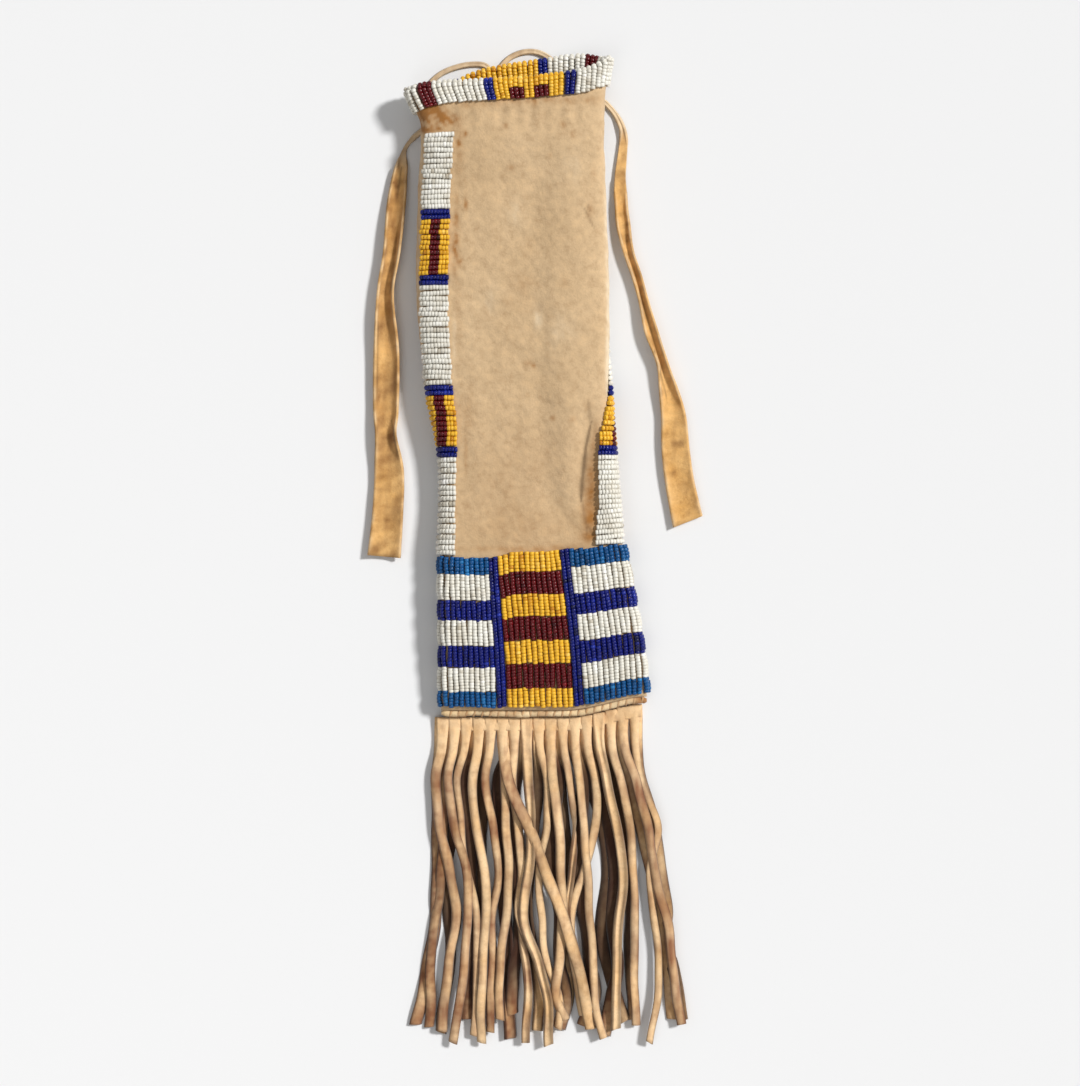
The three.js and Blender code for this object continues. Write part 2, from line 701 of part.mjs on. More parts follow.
// Between the ties the thong runs behind the neck: out past the lip in two slack loops, and
// through the slits along the inside of the back.
function thongStops() {
  const section = sectionAt(slitLevel);
  const inside = section.lift + hideThickness + clearance + thongThickness;
  const wall = section.lift + hideThickness / 2;
  const low = (x, y) => [x, y, thongLow, thongWidth];
  const loop = (stops) => stops.map(([x, y]) => low(...fromMouth(x, y)));
  const outside = (x) => [low(x, slitLevel + 0.8 * slitLength), low(x, slitLevel + slitLength / 3)];
  const through = (a, b) => [
    ...outside(a), [a, slitLevel, wall, thongWidth],
    [mix(a, b, 0.3), slitLevel, inside, thongWidth],
    [mix(a, b, 0.7), slitLevel, inside, thongWidth],
    [b, slitLevel, wall, thongWidth], ...outside(b).reverse(),
  ];
  return [
    ...loop(leftLoop), ...through(slitAcross[0], slitAcross[1]),
    ...loop(middleLoop), ...through(slitAcross[2], slitAcross[3]), ...loop(rightLoop),
  ];
}

// The thong grows out of the narrow ends of both ties.
function thongAndTies() {
  const flat = (stops) => stops.map(([x, y, width]) => [...fromMouth(x, y), tieLow, width * tieWidth]);
  return stripGeometry([...flat(leftTie), ...thongStops(), ...flat(rightTie)], thongThickness, 4);
}

addHide('neck_thong', thongAndTies(), tieColour);

// Welt: a narrow folded strip sewn along the foot seam.
const footPoint = (share, drop, z) => {
  const x = footMiddle + share * (footHalfWidth - clearance);
  return new THREE.Vector3(x, -drop + rise(0, share, true), z);
};
function weltGeometry() {
  const shares = evenly(-1, 1, 0.12);
  const place = (share, w, height) => footPoint(share, clearance + w * weltWidth, clearance + height);
  const height = (i, j) => weltThickness * (j === 1 ? 1 : 0.7);
  return sheetGeometry(shares, [0, 0.5, 1], place, height);
}
addHide('foot_welt', weltGeometry(), weltColour);

// Fringe: a band of hide under the welt, cut into strands. The front layer is two pieces that meet
// in the middle, and the back layer is one. u counts strands, a strand and its slit to each. The
// fringe's left and right edges are given in half widths of the foot, by share of its length.
const fringeLeft = curveThrough([
  [0, -1.03], [0.06, -1.035], [0.16, -1.09], [0.28, -1.06], [0.37, -1.02], [0.5, -1.045],
  [0.65, -1.11], [0.8, -1.18], [1, -1.32],
]);
const fringeRight = curveThrough([
  [0, 0.975], [0.06, 0.965], [0.16, 0.975], [0.23, 1.03], [0.3, 1.095], [0.4, 1.14], [0.5, 1.17],
  [0.65, 1.235], [0.8, 1.31], [1, 1.38],
]);

function fringeGeometry(from, to, layer, seed) {
  const us = [];
  for (let strand = from; strand < to; strand += 1) us.push(strand, strand + strandShare);
  const band = fringeBand / fringeLength;
  const ws = [0, band, ...evenly(band, 1, 0.094).slice(1)];
  const place = (u, w, height) => {
    const strand = Math.floor(u + 1e-6);
    const share = (u - (1 - strandShare) / 2) / strandCount;
    const hang = Math.max(0, w - band) / (1 - band);
    const side = u - strand - strandShare / 2;
    const centre = (strand + strandShare / 2) / strandCount;
    const plain = mix(fringeLeft(w), fringeRight(w), w <= band ? share : centre);
    const atFoot = THREE.MathUtils.clamp(plain, -1, 1);
    const width = mix(strandWidth, strandTipWidth, smooth(hang * 3));
    const wave = Math.sin(hang * 9 + seed + strand * 2.4) + 0.5 * Math.sin(hang * 17 + strand * 1.7 + seed);
    const sway = strandSway * wave * smooth(hang * 2.5) / 1.5;
    const length = fringeLength * (1 - 0.035 * (1 + Math.sin(strand * 2.1 + seed)) * hang);
    const shift = w <= band ? 0 : side * width + sway;
    const y = rise(0, atFoot, true) * (1 - hang) - 2 * clearance - weltWidth - w * length;
    return new THREE.Vector3(footMiddle + plain * footHalfWidth + shift, y, layer * (fringeThickness + clearance) + height);
  };
  const has = (i, j) => j === 0 || i % 2 === 0;
  return sheetGeometry(us, ws, place, () => fringeThickness, has);
}

const split = Math.ceil(strandCount / 2);
addHide('fringe_back', fringeGeometry(0, strandCount, 0, 0.6), fringeColour);
addHide('fringe_front_left', fringeGeometry(0, split, 1, 3.1), fringeColour);
addHide('fringe_front_right', fringeGeometry(split, strandCount, 1, 4.7), fringeColour);

// The origin is on the floor under the middle of the whole pouch.
const box = new THREE.Box3().setFromObject(pouch);
const centre = box.getCenter(new THREE.Vector3());
pouch.position.set(-centre.x, -centre.y, -box.min.z);

export default pouch;
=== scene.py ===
# %% [markdown]
# # A beaded tobacco pouch
# The pouch is a long bag of soft tanned hide that lies on its back. Glass seed beads are sewn on
# it in lanes: round the lip, down both sides and round the foot. A thong runs behind the neck and
# ends in two flat ties, and a cut fringe hangs from the foot. The construction is already fixed in
# the frame, so this lesson makes the surfaces: hide, beads, thong, welt and fringe.

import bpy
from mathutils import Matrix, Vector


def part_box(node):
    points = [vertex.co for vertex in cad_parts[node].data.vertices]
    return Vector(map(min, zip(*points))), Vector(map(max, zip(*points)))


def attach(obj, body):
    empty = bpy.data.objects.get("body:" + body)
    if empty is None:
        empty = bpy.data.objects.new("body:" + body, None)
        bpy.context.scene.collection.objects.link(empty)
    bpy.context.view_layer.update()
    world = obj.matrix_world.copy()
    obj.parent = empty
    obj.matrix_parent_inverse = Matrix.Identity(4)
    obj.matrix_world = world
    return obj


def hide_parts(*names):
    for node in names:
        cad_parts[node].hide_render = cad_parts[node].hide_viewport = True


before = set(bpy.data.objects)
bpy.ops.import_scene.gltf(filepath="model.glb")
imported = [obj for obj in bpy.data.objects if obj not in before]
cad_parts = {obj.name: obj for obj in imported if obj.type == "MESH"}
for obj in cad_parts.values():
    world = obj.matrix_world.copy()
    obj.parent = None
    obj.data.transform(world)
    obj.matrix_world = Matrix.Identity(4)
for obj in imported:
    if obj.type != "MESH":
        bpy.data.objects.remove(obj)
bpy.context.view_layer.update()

import math

import bpy
import numpy as np
from mathutils import Vector

# %% [markdown]
# ## The camera
# The photograph looks straight down on the pouch. One pixel of it is 0.45 mm at the object, so the
# distance of the camera follows from its lens and from the height of the picture.

# %% Camera
MM = 0.001
PIXEL_MM = 0.45
PICTURE = (1080, 1086)
LENS, SENSOR = 100.0, 36.0
PICTURE_MIDDLE = Vector((2.1 * MM, 2.0 * MM, 8.0 * MM))

camera_data = bpy.data.cameras.new("camera")
camera_data.lens = LENS
camera_data.sensor_width = SENSOR
camera_data.clip_start, camera_data.clip_end = 0.05, 20.0
camera = bpy.data.objects.new("camera", camera_data)
bpy.context.scene.collection.objects.link(camera)
distance = max(PICTURE) * PIXEL_MM * MM * LENS / SENSOR
camera.location = PICTURE_MIDDLE + Vector((0, 0, distance))
bpy.context.scene.camera = camera
print("camera distance: %.3f m" % distance)

# %% [markdown]
# ## The bag's surface as a formula
# Every bead sits on the hide, so both need the same surface. It is a function of two numbers: how
# far round the bag, and how far along it. The cross-section is a thin ellipse grown by a round
# edge; its width, depth and middle line change along the bag by a few named sizes, in millimetres.

# %% Sizes of the bag
BAG_LENGTH, HIDE = 284.0, 1.5
FOOT_W, PANEL_TOP_W, WAIST_W, BELLY_W, NECK_W, MOUTH_W = 46.4, 40.8, 38.6, 43.4, 41.4, 45.2
FOOT_D, PANEL_D, BELLY_D, MOUTH_D = 3.2, 6.2, 7.5, 6.8
ROUNDNESS, FLAT = 0.72, 0.12
FOOT_MIDDLE, LEAN = 4.3, 16.0
FOOT_RISE, PANEL_TOP_RISE, LIP_RISE = 6.4, 2.8, 7.6
FRONT_SAG, BACK_SAG = 4.8, 2.4
CREASE_DEPTH, CREASE_WIDTH = 1.4, 5.0
BEAD_HEIGHT, BEAD_SEAT, ROW_PITCH, LANE_WIDTH = 2.0, 0.45, 2.34, 12.6
PANEL_HEIGHT, PANEL_FROM_SEAM, LANE_TOP, LANE_GAP = 70.3, 1.8, 259.0, 0.6
LIP_OUTER, LIP_INNER, LIP_SQUARE = 10.0, 6.3, 7.4
THONG_WIDTH, THONG_THICK = 2.0, 1.2
LANE_FOOT = PANEL_FROM_SEAM + PANEL_HEIGHT + LANE_GAP
UNDER = BEAD_SEAT + BEAD_HEIGHT
NECK_LIFT = UNDER + THONG_THICK + 0.6
print("bag %.0f mm long, %.0f mm wide at the foot" % (BAG_LENGTH, 2 * FOOT_W))

# %% [markdown]
# A maker would draw the outline with a bent batten through a few measured points. `curve_through`
# does the same for any size: each width, depth and edge line is a short table of places and values
# that can be read and changed. The places are shares of the bag's length.

# %% Curves through the sizes
def mix(a, b, t):
    """A value on the way from a to b."""
    return a + (b - a) * t


def smooth(t):
    """0 below 0, 1 above 1, and a soft step 3t^2 - 2t^3 between them."""
    t = np.clip(t, 0.0, 1.0)
    return t * t * (3 - 2 * t)


def curve_through(pairs):
    """A cubic curve through pairs of place and value. The slope at an inner pair is that of the
    parabola through its neighbours, the ends are straight, and it is level beyond them."""
    xs, ys = np.array(pairs, float).T

    def value(place):
        """The curve's value at a place."""
        x = np.clip(np.asarray(place, float), xs[0], xs[-1])
        i = np.clip(np.searchsorted(xs, x, side="right"), 1, len(xs) - 1)
        x0, x1, y0, y1 = xs[i - 1], xs[i], ys[i - 1], ys[i]
        first, last = i == 1, i == len(xs) - 1
        before, after = np.where(first, i, i - 2), np.where(last, i - 1, np.minimum(i + 1, len(xs) - 1))
        half = (x1 - x0) / 2
        wp = half / np.where(first, x0 - x1, x0 - xs[before])
        wn = half / np.where(last, x0 - x1, xs[after] - x1)
        p = (x - x0) / (x1 - x0)
        return (ys[before] * (-wp * p ** 3 + 2 * wp * p ** 2 - wp * p)
                + y0 * ((1 + wp) * p ** 3 + (-1.5 - 2 * wp) * p ** 2 + (-0.5 + wp) * p + 1)
                + y1 * ((-1 - wn) * p ** 3 + (1.5 + wn) * p ** 2 + 0.5 * p)
                + ys[after] * (wn * p ** 3 - wn * p ** 2))

    return value


half_width = curve_through([
    (0, FOOT_W), (0.1, mix(FOOT_W, PANEL_TOP_W, 0.4)), (0.25, PANEL_TOP_W), (0.36, WAIST_W),
    (0.42, WAIST_W), (0.52, mix(WAIST_W, BELLY_W, 0.55)), (0.64, BELLY_W),
    (0.8, mix(BELLY_W, NECK_W, 0.4)), (0.93, NECK_W), (0.965, mix(NECK_W, MOUTH_W, 0.3)), (1, MOUTH_W)])
half_depth = curve_through([
    (0, FOOT_D), (0.05, mix(FOOT_D, PANEL_D, 0.4)), (0.11, mix(FOOT_D, PANEL_D, 0.8)),
    (0.17, PANEL_D), (0.24, PANEL_D), (0.36, mix(PANEL_D, BELLY_D, 0.7)), (0.5, BELLY_D),
    (0.8, BELLY_D), (0.93, MOUTH_D), (1, MOUTH_D)])
middle_line = curve_through([
    (0, 0), (0.1, -0.1 * LEAN), (0.25, -0.34 * LEAN), (0.41, -0.48 * LEAN), (0.49, -0.71 * LEAN),
    (0.58, -0.82 * LEAN), (0.65, -0.88 * LEAN), (0.81, -0.91 * LEAN), (0.95, -0.9 * LEAN), (1, -LEAN)])
panel_top_line = curve_through([
    (-1, -1), (-0.38, -1), (-0.22, -0.2), (0.2, -0.1), (0.32, 0.12), (0.6, 0.45), (1, 1)])
lip_front = curve_through([
    (-1, -0.855), (-0.9, -0.5), (-0.75, -0.197), (-0.2, 0.158), (0.36, 0.395), (0.8, 0.658), (1, 1)])
lip_back = curve_through([
    (-1, -0.855), (-0.8, -0.63), (-0.55, -0.16), (-0.4, 0.32), (-0.27, 0.6), (-0.02, 0.93),
    (0.3, 1.2), (0.72, 1.43), (1, 1)])
crease_line = curve_through([(0.29, 0.511), (0.35, 0.392), (0.46, 0.435)])
print("half width halfway up the bag: %.1f mm" % half_width(0.5))

# %% [markdown]
# The next cell turns the sizes into points. The girth is measured in small steps at each place along
# the bag, so that a share of it can be turned back into an angle: beads are then spaced evenly
# round the bag.

# %% Girth of the bag
TURNS = np.linspace(0, 1, 721)
LEVELS = np.linspace(0, BAG_LENGTH, 569)


def core(turn, v, out):
    """Ellipse of the section's core plus its round edge: the point at a turn, and its sine."""
    share = v / BAG_LENGTH
    depth = half_depth(share)
    round_ = ROUNDNESS * depth
    long, short = half_width(share) - round_, depth - round_
    angle = np.pi * (1 - 2 * turn)
    c, s = np.cos(angle), np.sin(angle)
    slant = np.hypot(c / long, s / short)
    return long * c + (round_ + out) * c / long / slant, short * s + (round_ + out) * s / short / slant, s


def girth_table():
    """Lengths round the outer surface from the left side, for every level and turn."""
    x, z, _ = core(TURNS[None, :], LEVELS[:, None], 0.0)
    steps = np.hypot(np.diff(x, axis=1), np.diff(z, axis=1))
    return np.concatenate([np.zeros((len(LEVELS), 1)), np.cumsum(steps, axis=1)], axis=1)


GIRTHS = girth_table()


def girth_at(v):
    """The bag's girth at v along it."""
    return np.interp(v, LEVELS, GIRTHS[:, -1])


TABLE_SHARES = np.linspace(0, 1, 1441)
TURN_OF = np.array([np.interp(TABLE_SHARES * row[-1], row, TURNS) for row in GIRTHS])


def turn_at(share, v):
    """Turns a share of the girth at v into the section's turn, by looking it up in the table."""
    row = np.clip(v / BAG_LENGTH, 0, 1) * (len(LEVELS) - 1)
    column = np.mod(share, 1.0) * (len(TABLE_SHARES) - 1)
    i = np.minimum(row.astype(int), len(LEVELS) - 2)
    j = np.minimum(column.astype(int), len(TABLE_SHARES) - 2)
    a, b = row - i, column - j
    low = TURN_OF[i, j] * (1 - b) + TURN_OF[i, j + 1] * b
    high = TURN_OF[i + 1, j] * (1 - b) + TURN_OF[i + 1, j + 1] * b
    return low * (1 - a) + high * a


print("girth at the panel %.1f mm, at the belly %.1f mm" % (girth_at(37.0), girth_at(180.0)))

# %% [markdown]
# Three things bend the plain sections into the bag that lies there. The foot and the lip aren't
# square to its length, the mouth's edge sags, and the back is lifted over what lies under it: the
# beads at the foot, the right side lane, and the thong at the neck.

# %% Surface of the bag
def rise(v, across, is_front):
    """How far a point is moved along the bag: the foot climbs to the right, the lip has its line,
    and the mouth's edge sags a little between its corners."""
    panel_top = PANEL_FROM_SEAM + PANEL_HEIGHT
    foot, top = FOOT_RISE * smooth((across - 0.2) / 0.85), PANEL_TOP_RISE * panel_top_line(across)
    fade = 1 - smooth((v - panel_top) / (0.2 * BAG_LENGTH))
    lip = np.where(is_front, lip_front(across), lip_back(across))
    above = top * fade + LIP_RISE * lip * smooth((v - 0.9 * BAG_LENGTH) / (0.085 * BAG_LENGTH))
    sag = np.where(is_front, FRONT_SAG, BACK_SAG) * np.sqrt(1 - across ** 2)
    above = above - sag * smooth((v - 0.94 * BAG_LENGTH) / (0.06 * BAG_LENGTH))
    return np.where(v < panel_top, mix(foot, top, np.clip(v / panel_top, 0, 1)), above)


def on_bag(share, v, out=0.0):
    """A point of the bag in mm: a share round the girth, v along it and out from the hide. It is the
    section's point, lifted by what lies under it, and dented along the crease in front."""
    share, v, out = np.broadcast_arrays(*(np.asarray(a, float) for a in (share, v, out)))
    v = np.clip(v, 0, BAG_LENGTH)
    part = v / BAG_LENGTH
    px, pz, s = core(turn_at(share, v), v, out)
    foot = UNDER * smooth((LANE_FOOT + 0.1 * BAG_LENGTH - v) / (0.09 * BAG_LENGTH))
    lift = foot + NECK_LIFT * smooth((v - 0.82 * BAG_LENGTH) / (0.09 * BAG_LENGTH))
    across = px / half_width(part)
    x = FOOT_MIDDLE + middle_line(part) + px
    along = smooth((part - 0.275) / 0.05) * smooth((0.5 - part) / 0.06)
    line = FOOT_MIDDLE + FOOT_W * crease_line(part)
    dent = CREASE_DEPTH * along * np.exp(-((x - line) / CREASE_WIDTH) ** 2) * smooth(s / 0.5)
    lifted = np.maximum(0, UNDER * smooth((across - 0.15) / 0.45) - lift)
    z = np.maximum(lift + half_depth(part) - FLAT + pz, lift - out) + lifted - dent
    return np.stack([x, v + rise(v, np.clip(across, -1, 1), s >= 0), z], -1)


def place_from_frame():
    """The move from the formula's place to the frame's, by the lower left corner of the bag's box."""
    low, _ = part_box("hide_bag")
    shares, levels = np.meshgrid(np.linspace(0, 1, 361), np.linspace(0, BAG_LENGTH, 143))
    corner = on_bag(shares, levels).reshape(-1, 3).min(0)
    return np.array([low[0] / MM - corner[0], low[1] / MM - corner[1], 0.0])


SHIFT = place_from_frame()
print("the formula's place moves by", SHIFT.round(2), "mm to the frame's")

# %% [markdown]
# ## Helpers for meshes
# A surface is worked out as one array of points, and goes into a mesh in a single call. Numbers
# that vary over it, such as how dirty the hide is, go along as attributes that the material reads.

# %% Mesh helpers
def mesh_piece(name, points_mm, quads, attributes):
    """Makes an object from points in the formula's millimetres and an array of four-sided faces.
    The attributes are numbers for each point, by the name under which the material reads them."""
    points = (np.asarray(points_mm, float).reshape(-1, 3) + SHIFT) * MM
    quads = np.asarray(quads, np.int32).reshape(-1, 4)
    mesh = bpy.data.meshes.new(name)
    mesh.vertices.add(len(points))
    mesh.vertices.foreach_set("co", points.ravel())
    mesh.loops.add(quads.size)
    mesh.loops.foreach_set("vertex_index", quads.ravel())
    mesh.polygons.add(len(quads))
    mesh.polygons.foreach_set("loop_start", np.arange(0, quads.size, 4, dtype=np.int32))
    mesh.polygons.foreach_set("loop_total", np.full(len(quads), 4, np.int32))
    mesh.update(calc_edges=True)
    mesh.validate()
    mesh.polygons.foreach_set("use_smooth", np.ones(len(mesh.polygons), bool))
    for key, values in attributes.items():
        layer = mesh.attributes.new(key, "FLOAT", "POINT")
        layer.data.foreach_set("value", np.asarray(values, float).ravel())
    piece = bpy.data.objects.new(name, mesh)
    bpy.context.scene.collection.objects.link(piece)
    return piece


def rings_joined(rings, around):
    """Four-sided faces between rings that follow each other, each ring closed on itself."""
    i, j = np.meshgrid(np.arange(rings - 1), np.arange(around), indexing="ij")
    k = (j + 1) % around
    quads = np.stack([i * around + j, i * around + k, (i + 1) * around + k, (i + 1) * around + j], -1)
    return quads.reshape(-1, 4)


def tube_faces(rings, around):
    """The faces of a tube of rings, each end closed by four-sided faces from side to side."""
    k = np.arange(around // 2 - 1)
    cap = np.stack([k, k + 1, around - 2 - k, around - 1 - k], -1)
    return np.concatenate([rings_joined(rings, around), cap[:, ::-1], (rings - 1) * around + cap])


def ripple(points, seed, wavelength):
    """Soft uneven waves over space: the mean of seven sine waves in seeded random directions."""
    rng = np.random.default_rng(seed)
    directions = rng.normal(size=(7, 3))
    directions /= np.linalg.norm(directions, axis=1)[:, None]
    lengths = wavelength * rng.uniform(0.7, 1.5, 7)
    phases = rng.uniform(0, 2 * np.pi, 7)
    total = np.zeros(points.shape[:-1])
    for direction, length, phase in zip(directions, lengths, phases):
        total += np.sin(points @ direction * 2 * np.pi / length + phase)
    return total / math.sqrt(7)


def dress(piece, material, node_names):
    """Gives a piece its material, hangs it under the root body, and hides the nodes that it stands for."""
    piece.data.materials.append(material)
    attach(piece, "root")
    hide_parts(*node_names)
    return piece


print("faces of a tube of 3 rings of 8 points:", len(tube_faces(3, 8)))

# %% [markdown]
# ## Hide
# Smoke-tanned hide is matt and a little furry. Its colour drifts from cream to tan over a few
# centimetres, with finer mottling on top, and it is browner where hands held it. The drift comes
# from noise on Object coordinates, and the marks at known places come from a painted attribute.

# %% Material helpers
def set_inputs(node, inputs):
    """Sets a node's inputs to values, or links them where the value is another node's output."""
    for key, value in inputs.items():
        if isinstance(value, bpy.types.NodeSocket):
            node.id_data.links.new(value, node.inputs[key])
        else:
            node.inputs[key].default_value = value
    return node


def new_material(name):
    """A new material, its shader, and a helper that adds a node with its inputs and settings."""
    material = bpy.data.materials.new(name)
    material.use_nodes = True
    nodes = material.node_tree.nodes

    def add(kind, inputs, **settings):
        """Adds a node. Its settings come first, because some of them change its inputs."""
        node = nodes.new(kind)
        for key, value in settings.items():
            setattr(node, key, value)
        return set_inputs(node, inputs)

    return material, nodes["Principled BSDF"], add


def noise(add, scale, **settings):
    """Clouds of 0 to 1 through the piece. The scale counts them per metre."""
    place = add("ShaderNodeTexCoord", {}).outputs["Object"]
    return add("ShaderNodeTexNoise", {"Vector": place, "Scale": scale, **settings}).outputs["Fac"]


def painted(add, key):
    """The numbers that a piece carries under that name, point by point."""
    return add("ShaderNodeAttribute", {}, attribute_name=key).outputs["Fac"]


def colour_ramp(add, factor, stops):
    """A colour ramp with its stops given as place and colour."""
    node = add("ShaderNodeValToRGB", {"Fac": factor})
    ramp = node.color_ramp
    while len(ramp.elements) < len(stops):
        ramp.elements.new(0.5)
    for element, (place, colour) in zip(ramp.elements, stops):
        element.position, element.color = place, (*colour, 1.0)
    return node.outputs["Color"]


def blend_colours(add, factor, first, second, mode="MIX"):
    """Mixes two colours by a factor. A colour is three numbers or another node's output."""
    first, second = ((*colour, 1.0) if isinstance(colour, tuple) else colour for colour in (first, second))
    node = add("ShaderNodeMix", {0: factor, 6: first, 7: second}, data_type="RGBA", blend_type=mode)
    return node.outputs[2]


def linear(red, green, blue):
    """A screen colour of 0 to 255 as the linear colour that a shader takes."""
    def one(value):
        """A straight start, then the power 2.4."""
        value /= 255
        return value / 12.92 if value <= 0.04045 else ((value + 0.055) / 1.055) ** 2.4
    return one(red), one(green), one(blue)


print("a screen colour of 188 is %.2f to a shader" % linear(188, 188, 188)[0])

# %% Hide materials
PALE_WEAR_AND_HIGHLIGHT = linear(222, 204, 174)
SHADE_SHARE = 0.12


def hide_material(name, pale, tan, brown, drift=28.0, mottle=0.22):
    """Matt hide: a large drift of colour, fine mottling, painted wear and highlight, stains and painted
    shade, and a nap.
    """
    material, shader, add = new_material(name)
    large = noise(add, drift, Detail=5.0, Roughness=0.6)
    fine = noise(add, 250.0, Detail=6.0, Roughness=0.72)
    between = tuple(mix(np.array(tan), np.array(pale), 0.6))
    base = colour_ramp(add, large, [(0.32, tan), (0.5, between), (0.66, pale)])
    low = tuple(1 - mottle * k for k in (0.8, 1.0, 1.2))
    mottled = colour_ramp(add, fine, [(0.3, low), (0.5, (1, 1, 1)), (0.68, (1.14, 1.12, 1.09))])
    coloured = blend_colours(add, 1.0, base, mottled, "MULTIPLY")
    dark = tuple(SHADE_SHARE * c for c in brown)
    # Pale marks carry wear and a painted highlight, brown marks carry stains mixed with painted shade and
    # highlight, and the darkest marks are painted shade.
    for key, colour in (("pale", PALE_WEAR_AND_HIGHLIGHT), ("stain_and_shade", brown), ("shade", dark)):
        coloured = blend_colours(add, painted(add, key), coloured, colour)
    fur = noise(add, 1100.0, Detail=3.0, Roughness=0.7)
    creases = noise(add, 130.0, Detail=6.0, Roughness=0.62, Distortion=0.8)
    dents = add("ShaderNodeBump", {"Height": creases, "Strength": 0.3, "Distance": 0.0015})
    nap = add("ShaderNodeBump", {"Height": fur, "Strength": 0.35, "Distance": 0.0005,
                                 "Normal": dents.outputs["Normal"]})
    set_inputs(shader, {"Base Color": coloured, "Normal": nap.outputs["Normal"], "Roughness": 0.92,
                        "Sheen Weight": 0.15, "Sheen Roughness": 0.6, "Specular IOR Level": 0.15})
    return material


bag_hide = hide_material("tanned_hide", linear(193, 165, 128), linear(188, 159, 121), linear(144, 94, 38))
tie_hide = hide_material("ochre_hide", linear(218, 174, 112), linear(196, 148, 84), linear(104, 62, 26),
                         drift=70.0, mottle=0.3)
fringe_hide = hide_material("fringe_hide", linear(228, 194, 150), linear(212, 168, 114), linear(112, 54, 26),
                            drift=60.0, mottle=0.26)
welt_hide = hide_material("welt_hide", linear(226, 202, 162), linear(210, 180, 134), linear(150, 92, 36),
                          drift=90.0, mottle=0.3)
print("hides:", [hide.name for hide in (bag_hide, tie_hide, fringe_hide, welt_hide)])

# %% [markdown]
# ## The hide bag
# The bag is one skin: up the outside from the foot, over the lip, and down the inside. A cloth
# simulation could drop it on the floor, but its folds would fall anywhere, so the skin follows the
# formula. Soft waves are added, strongest in the bare middle and gone under the beads, because
# beadwork stiffens the hide.

# %% Skin of the bag
ROUND, CLOSING_RINGS, OUTSIDE_RINGS, EDGE_RINGS, INSIDE_RINGS = 220, 6, 340, 3, 60
CLOSING, INSIDE_FOOT, ON_FLOOR = 2.0, 6.0, 0.9


def under_beads(v):
    """1 where beads lie on the hide, at the panel and the lip, and 0 where it is bare."""
    panel = smooth((LANE_FOOT + 6 - v) / 6)
    lip = smooth((v - (BAG_LENGTH - LIP_OUTER - 5)) / 5)
    return np.maximum(panel, lip)


def hide_waves(points, v):
    """Height of the hide's own unevenness: long soft folds along the bag, small dimples, and short
    gathers at the neck, where the thong pulls."""
    stretched = points * np.array([1.0, 0.35, 1.0])
    folds = 0.2 * ripple(stretched, 3, 30.0) + 0.15 * ripple(points, 5, 12.0) + 0.06 * ripple(points, 8, 4.5)
    gathers = np.sin(points[..., 0] * 0.9 + 2 * ripple(points, 4, 40.0))
    return (folds + 0.2 * gathers * np.exp(-((v - 266) / 5) ** 2)) * (1 - under_beads(v))


def close_foot(points, v):
    """Brings the two walls together at the seam, along a quarter of an ellipse."""
    open_ = np.sqrt(np.clip(1 - ((CLOSING - v) / CLOSING).clip(0, 1) ** 2, 0, 1))
    seam = UNDER + FOOT_D
    points[..., 2] = seam + (points[..., 2] - seam) * mix(0.25, 1.0, open_)
    return points


def fan(middle, ring, ways):
    """Four-sided faces from a middle point to a closed ring, two of its steps at a time."""
    k = np.arange(0, ROUND, 2)
    return np.stack([np.full(len(k), middle)] + [ring + (k + way) % ROUND for way in ways], -1)


def bag_mesh():
    """Rings of points from the foot up the outside, over the lip and down the inside. The inside is
    the same surface one thickness further in, and half a circle joins them."""
    closing = np.linspace(0, CLOSING + 0.2, CLOSING_RINGS)
    outside = np.linspace(CLOSING + 0.2, BAG_LENGTH, OUTSIDE_RINGS - CLOSING_RINGS + 1)[1:]
    inside = np.linspace(BAG_LENGTH, INSIDE_FOOT, INSIDE_RINGS)
    v = np.concatenate([closing, outside, np.full(EDGE_RINGS, BAG_LENGTH), inside])
    turn = np.concatenate([np.zeros(OUTSIDE_RINGS), np.linspace(0, np.pi, EDGE_RINGS + 2)[1:-1],
                           np.full(INSIDE_RINGS, np.pi)])
    out = (np.cos(turn) - 1) * HIDE / 2
    shares, levels = np.meshgrid(np.arange(ROUND) / ROUND, v)
    points = on_bag(shares, levels, out[:, None])
    points[..., 1] += (np.sin(turn) * HIDE / 2)[:, None]
    outer = on_bag(shares, levels, out[:, None] + 1.0) - points
    normal = outer / np.maximum(np.linalg.norm(outer, axis=-1), 1e-6)[..., None]
    waves = hide_waves(points, levels)
    waves = np.where(points[..., 2] < ON_FLOOR, np.minimum(waves, 0) * 0.2, waves)
    points = points + normal * waves[..., None]
    points[:OUTSIDE_RINGS] = close_foot(points[:OUTSIDE_RINGS], levels[:OUTSIDE_RINGS])
    flat = np.concatenate([points.reshape(-1, 3), [points[0].mean(0), points[-1].mean(0)]])
    foot, pocket = len(flat) - 2, len(flat) - 1
    return flat, np.concatenate([rings_joined(len(v), ROUND), fan(foot, 0, (2, 1, 0)),
                                 fan(pocket, (len(v) - 1) * ROUND, (0, 1, 2))])


bag_points, bag_quads = bag_mesh()
print("skin: %d points, %.1f mm high" % (len(bag_points), np.ptp(bag_points[:, 2])))

# %% [markdown]
# An old hide is browner where hands held it and pale where it is worn. Painted shade darkens its
# creases, the hide beside the main crease and a strip under the lip, and a painted highlight runs
# down its right edge. Each mark is one entry of a table, a soft spot or stroke given in pixels of
# the photograph, so that it can be found there. The spots are broken up by waves, or they would
# look sprayed on.

# %% Stains and creases
PHOTO_ZERO, ZERO_UP = (534.5, 548.5), 73.0


def photo_mm(px, py):
    """The formula's place of a point given in the photograph's pixels."""
    return np.array([(px - PHOTO_ZERO[0]) * PIXEL_MM, (PHOTO_ZERO[1] - py) * PIXEL_MM + ZERO_UP])
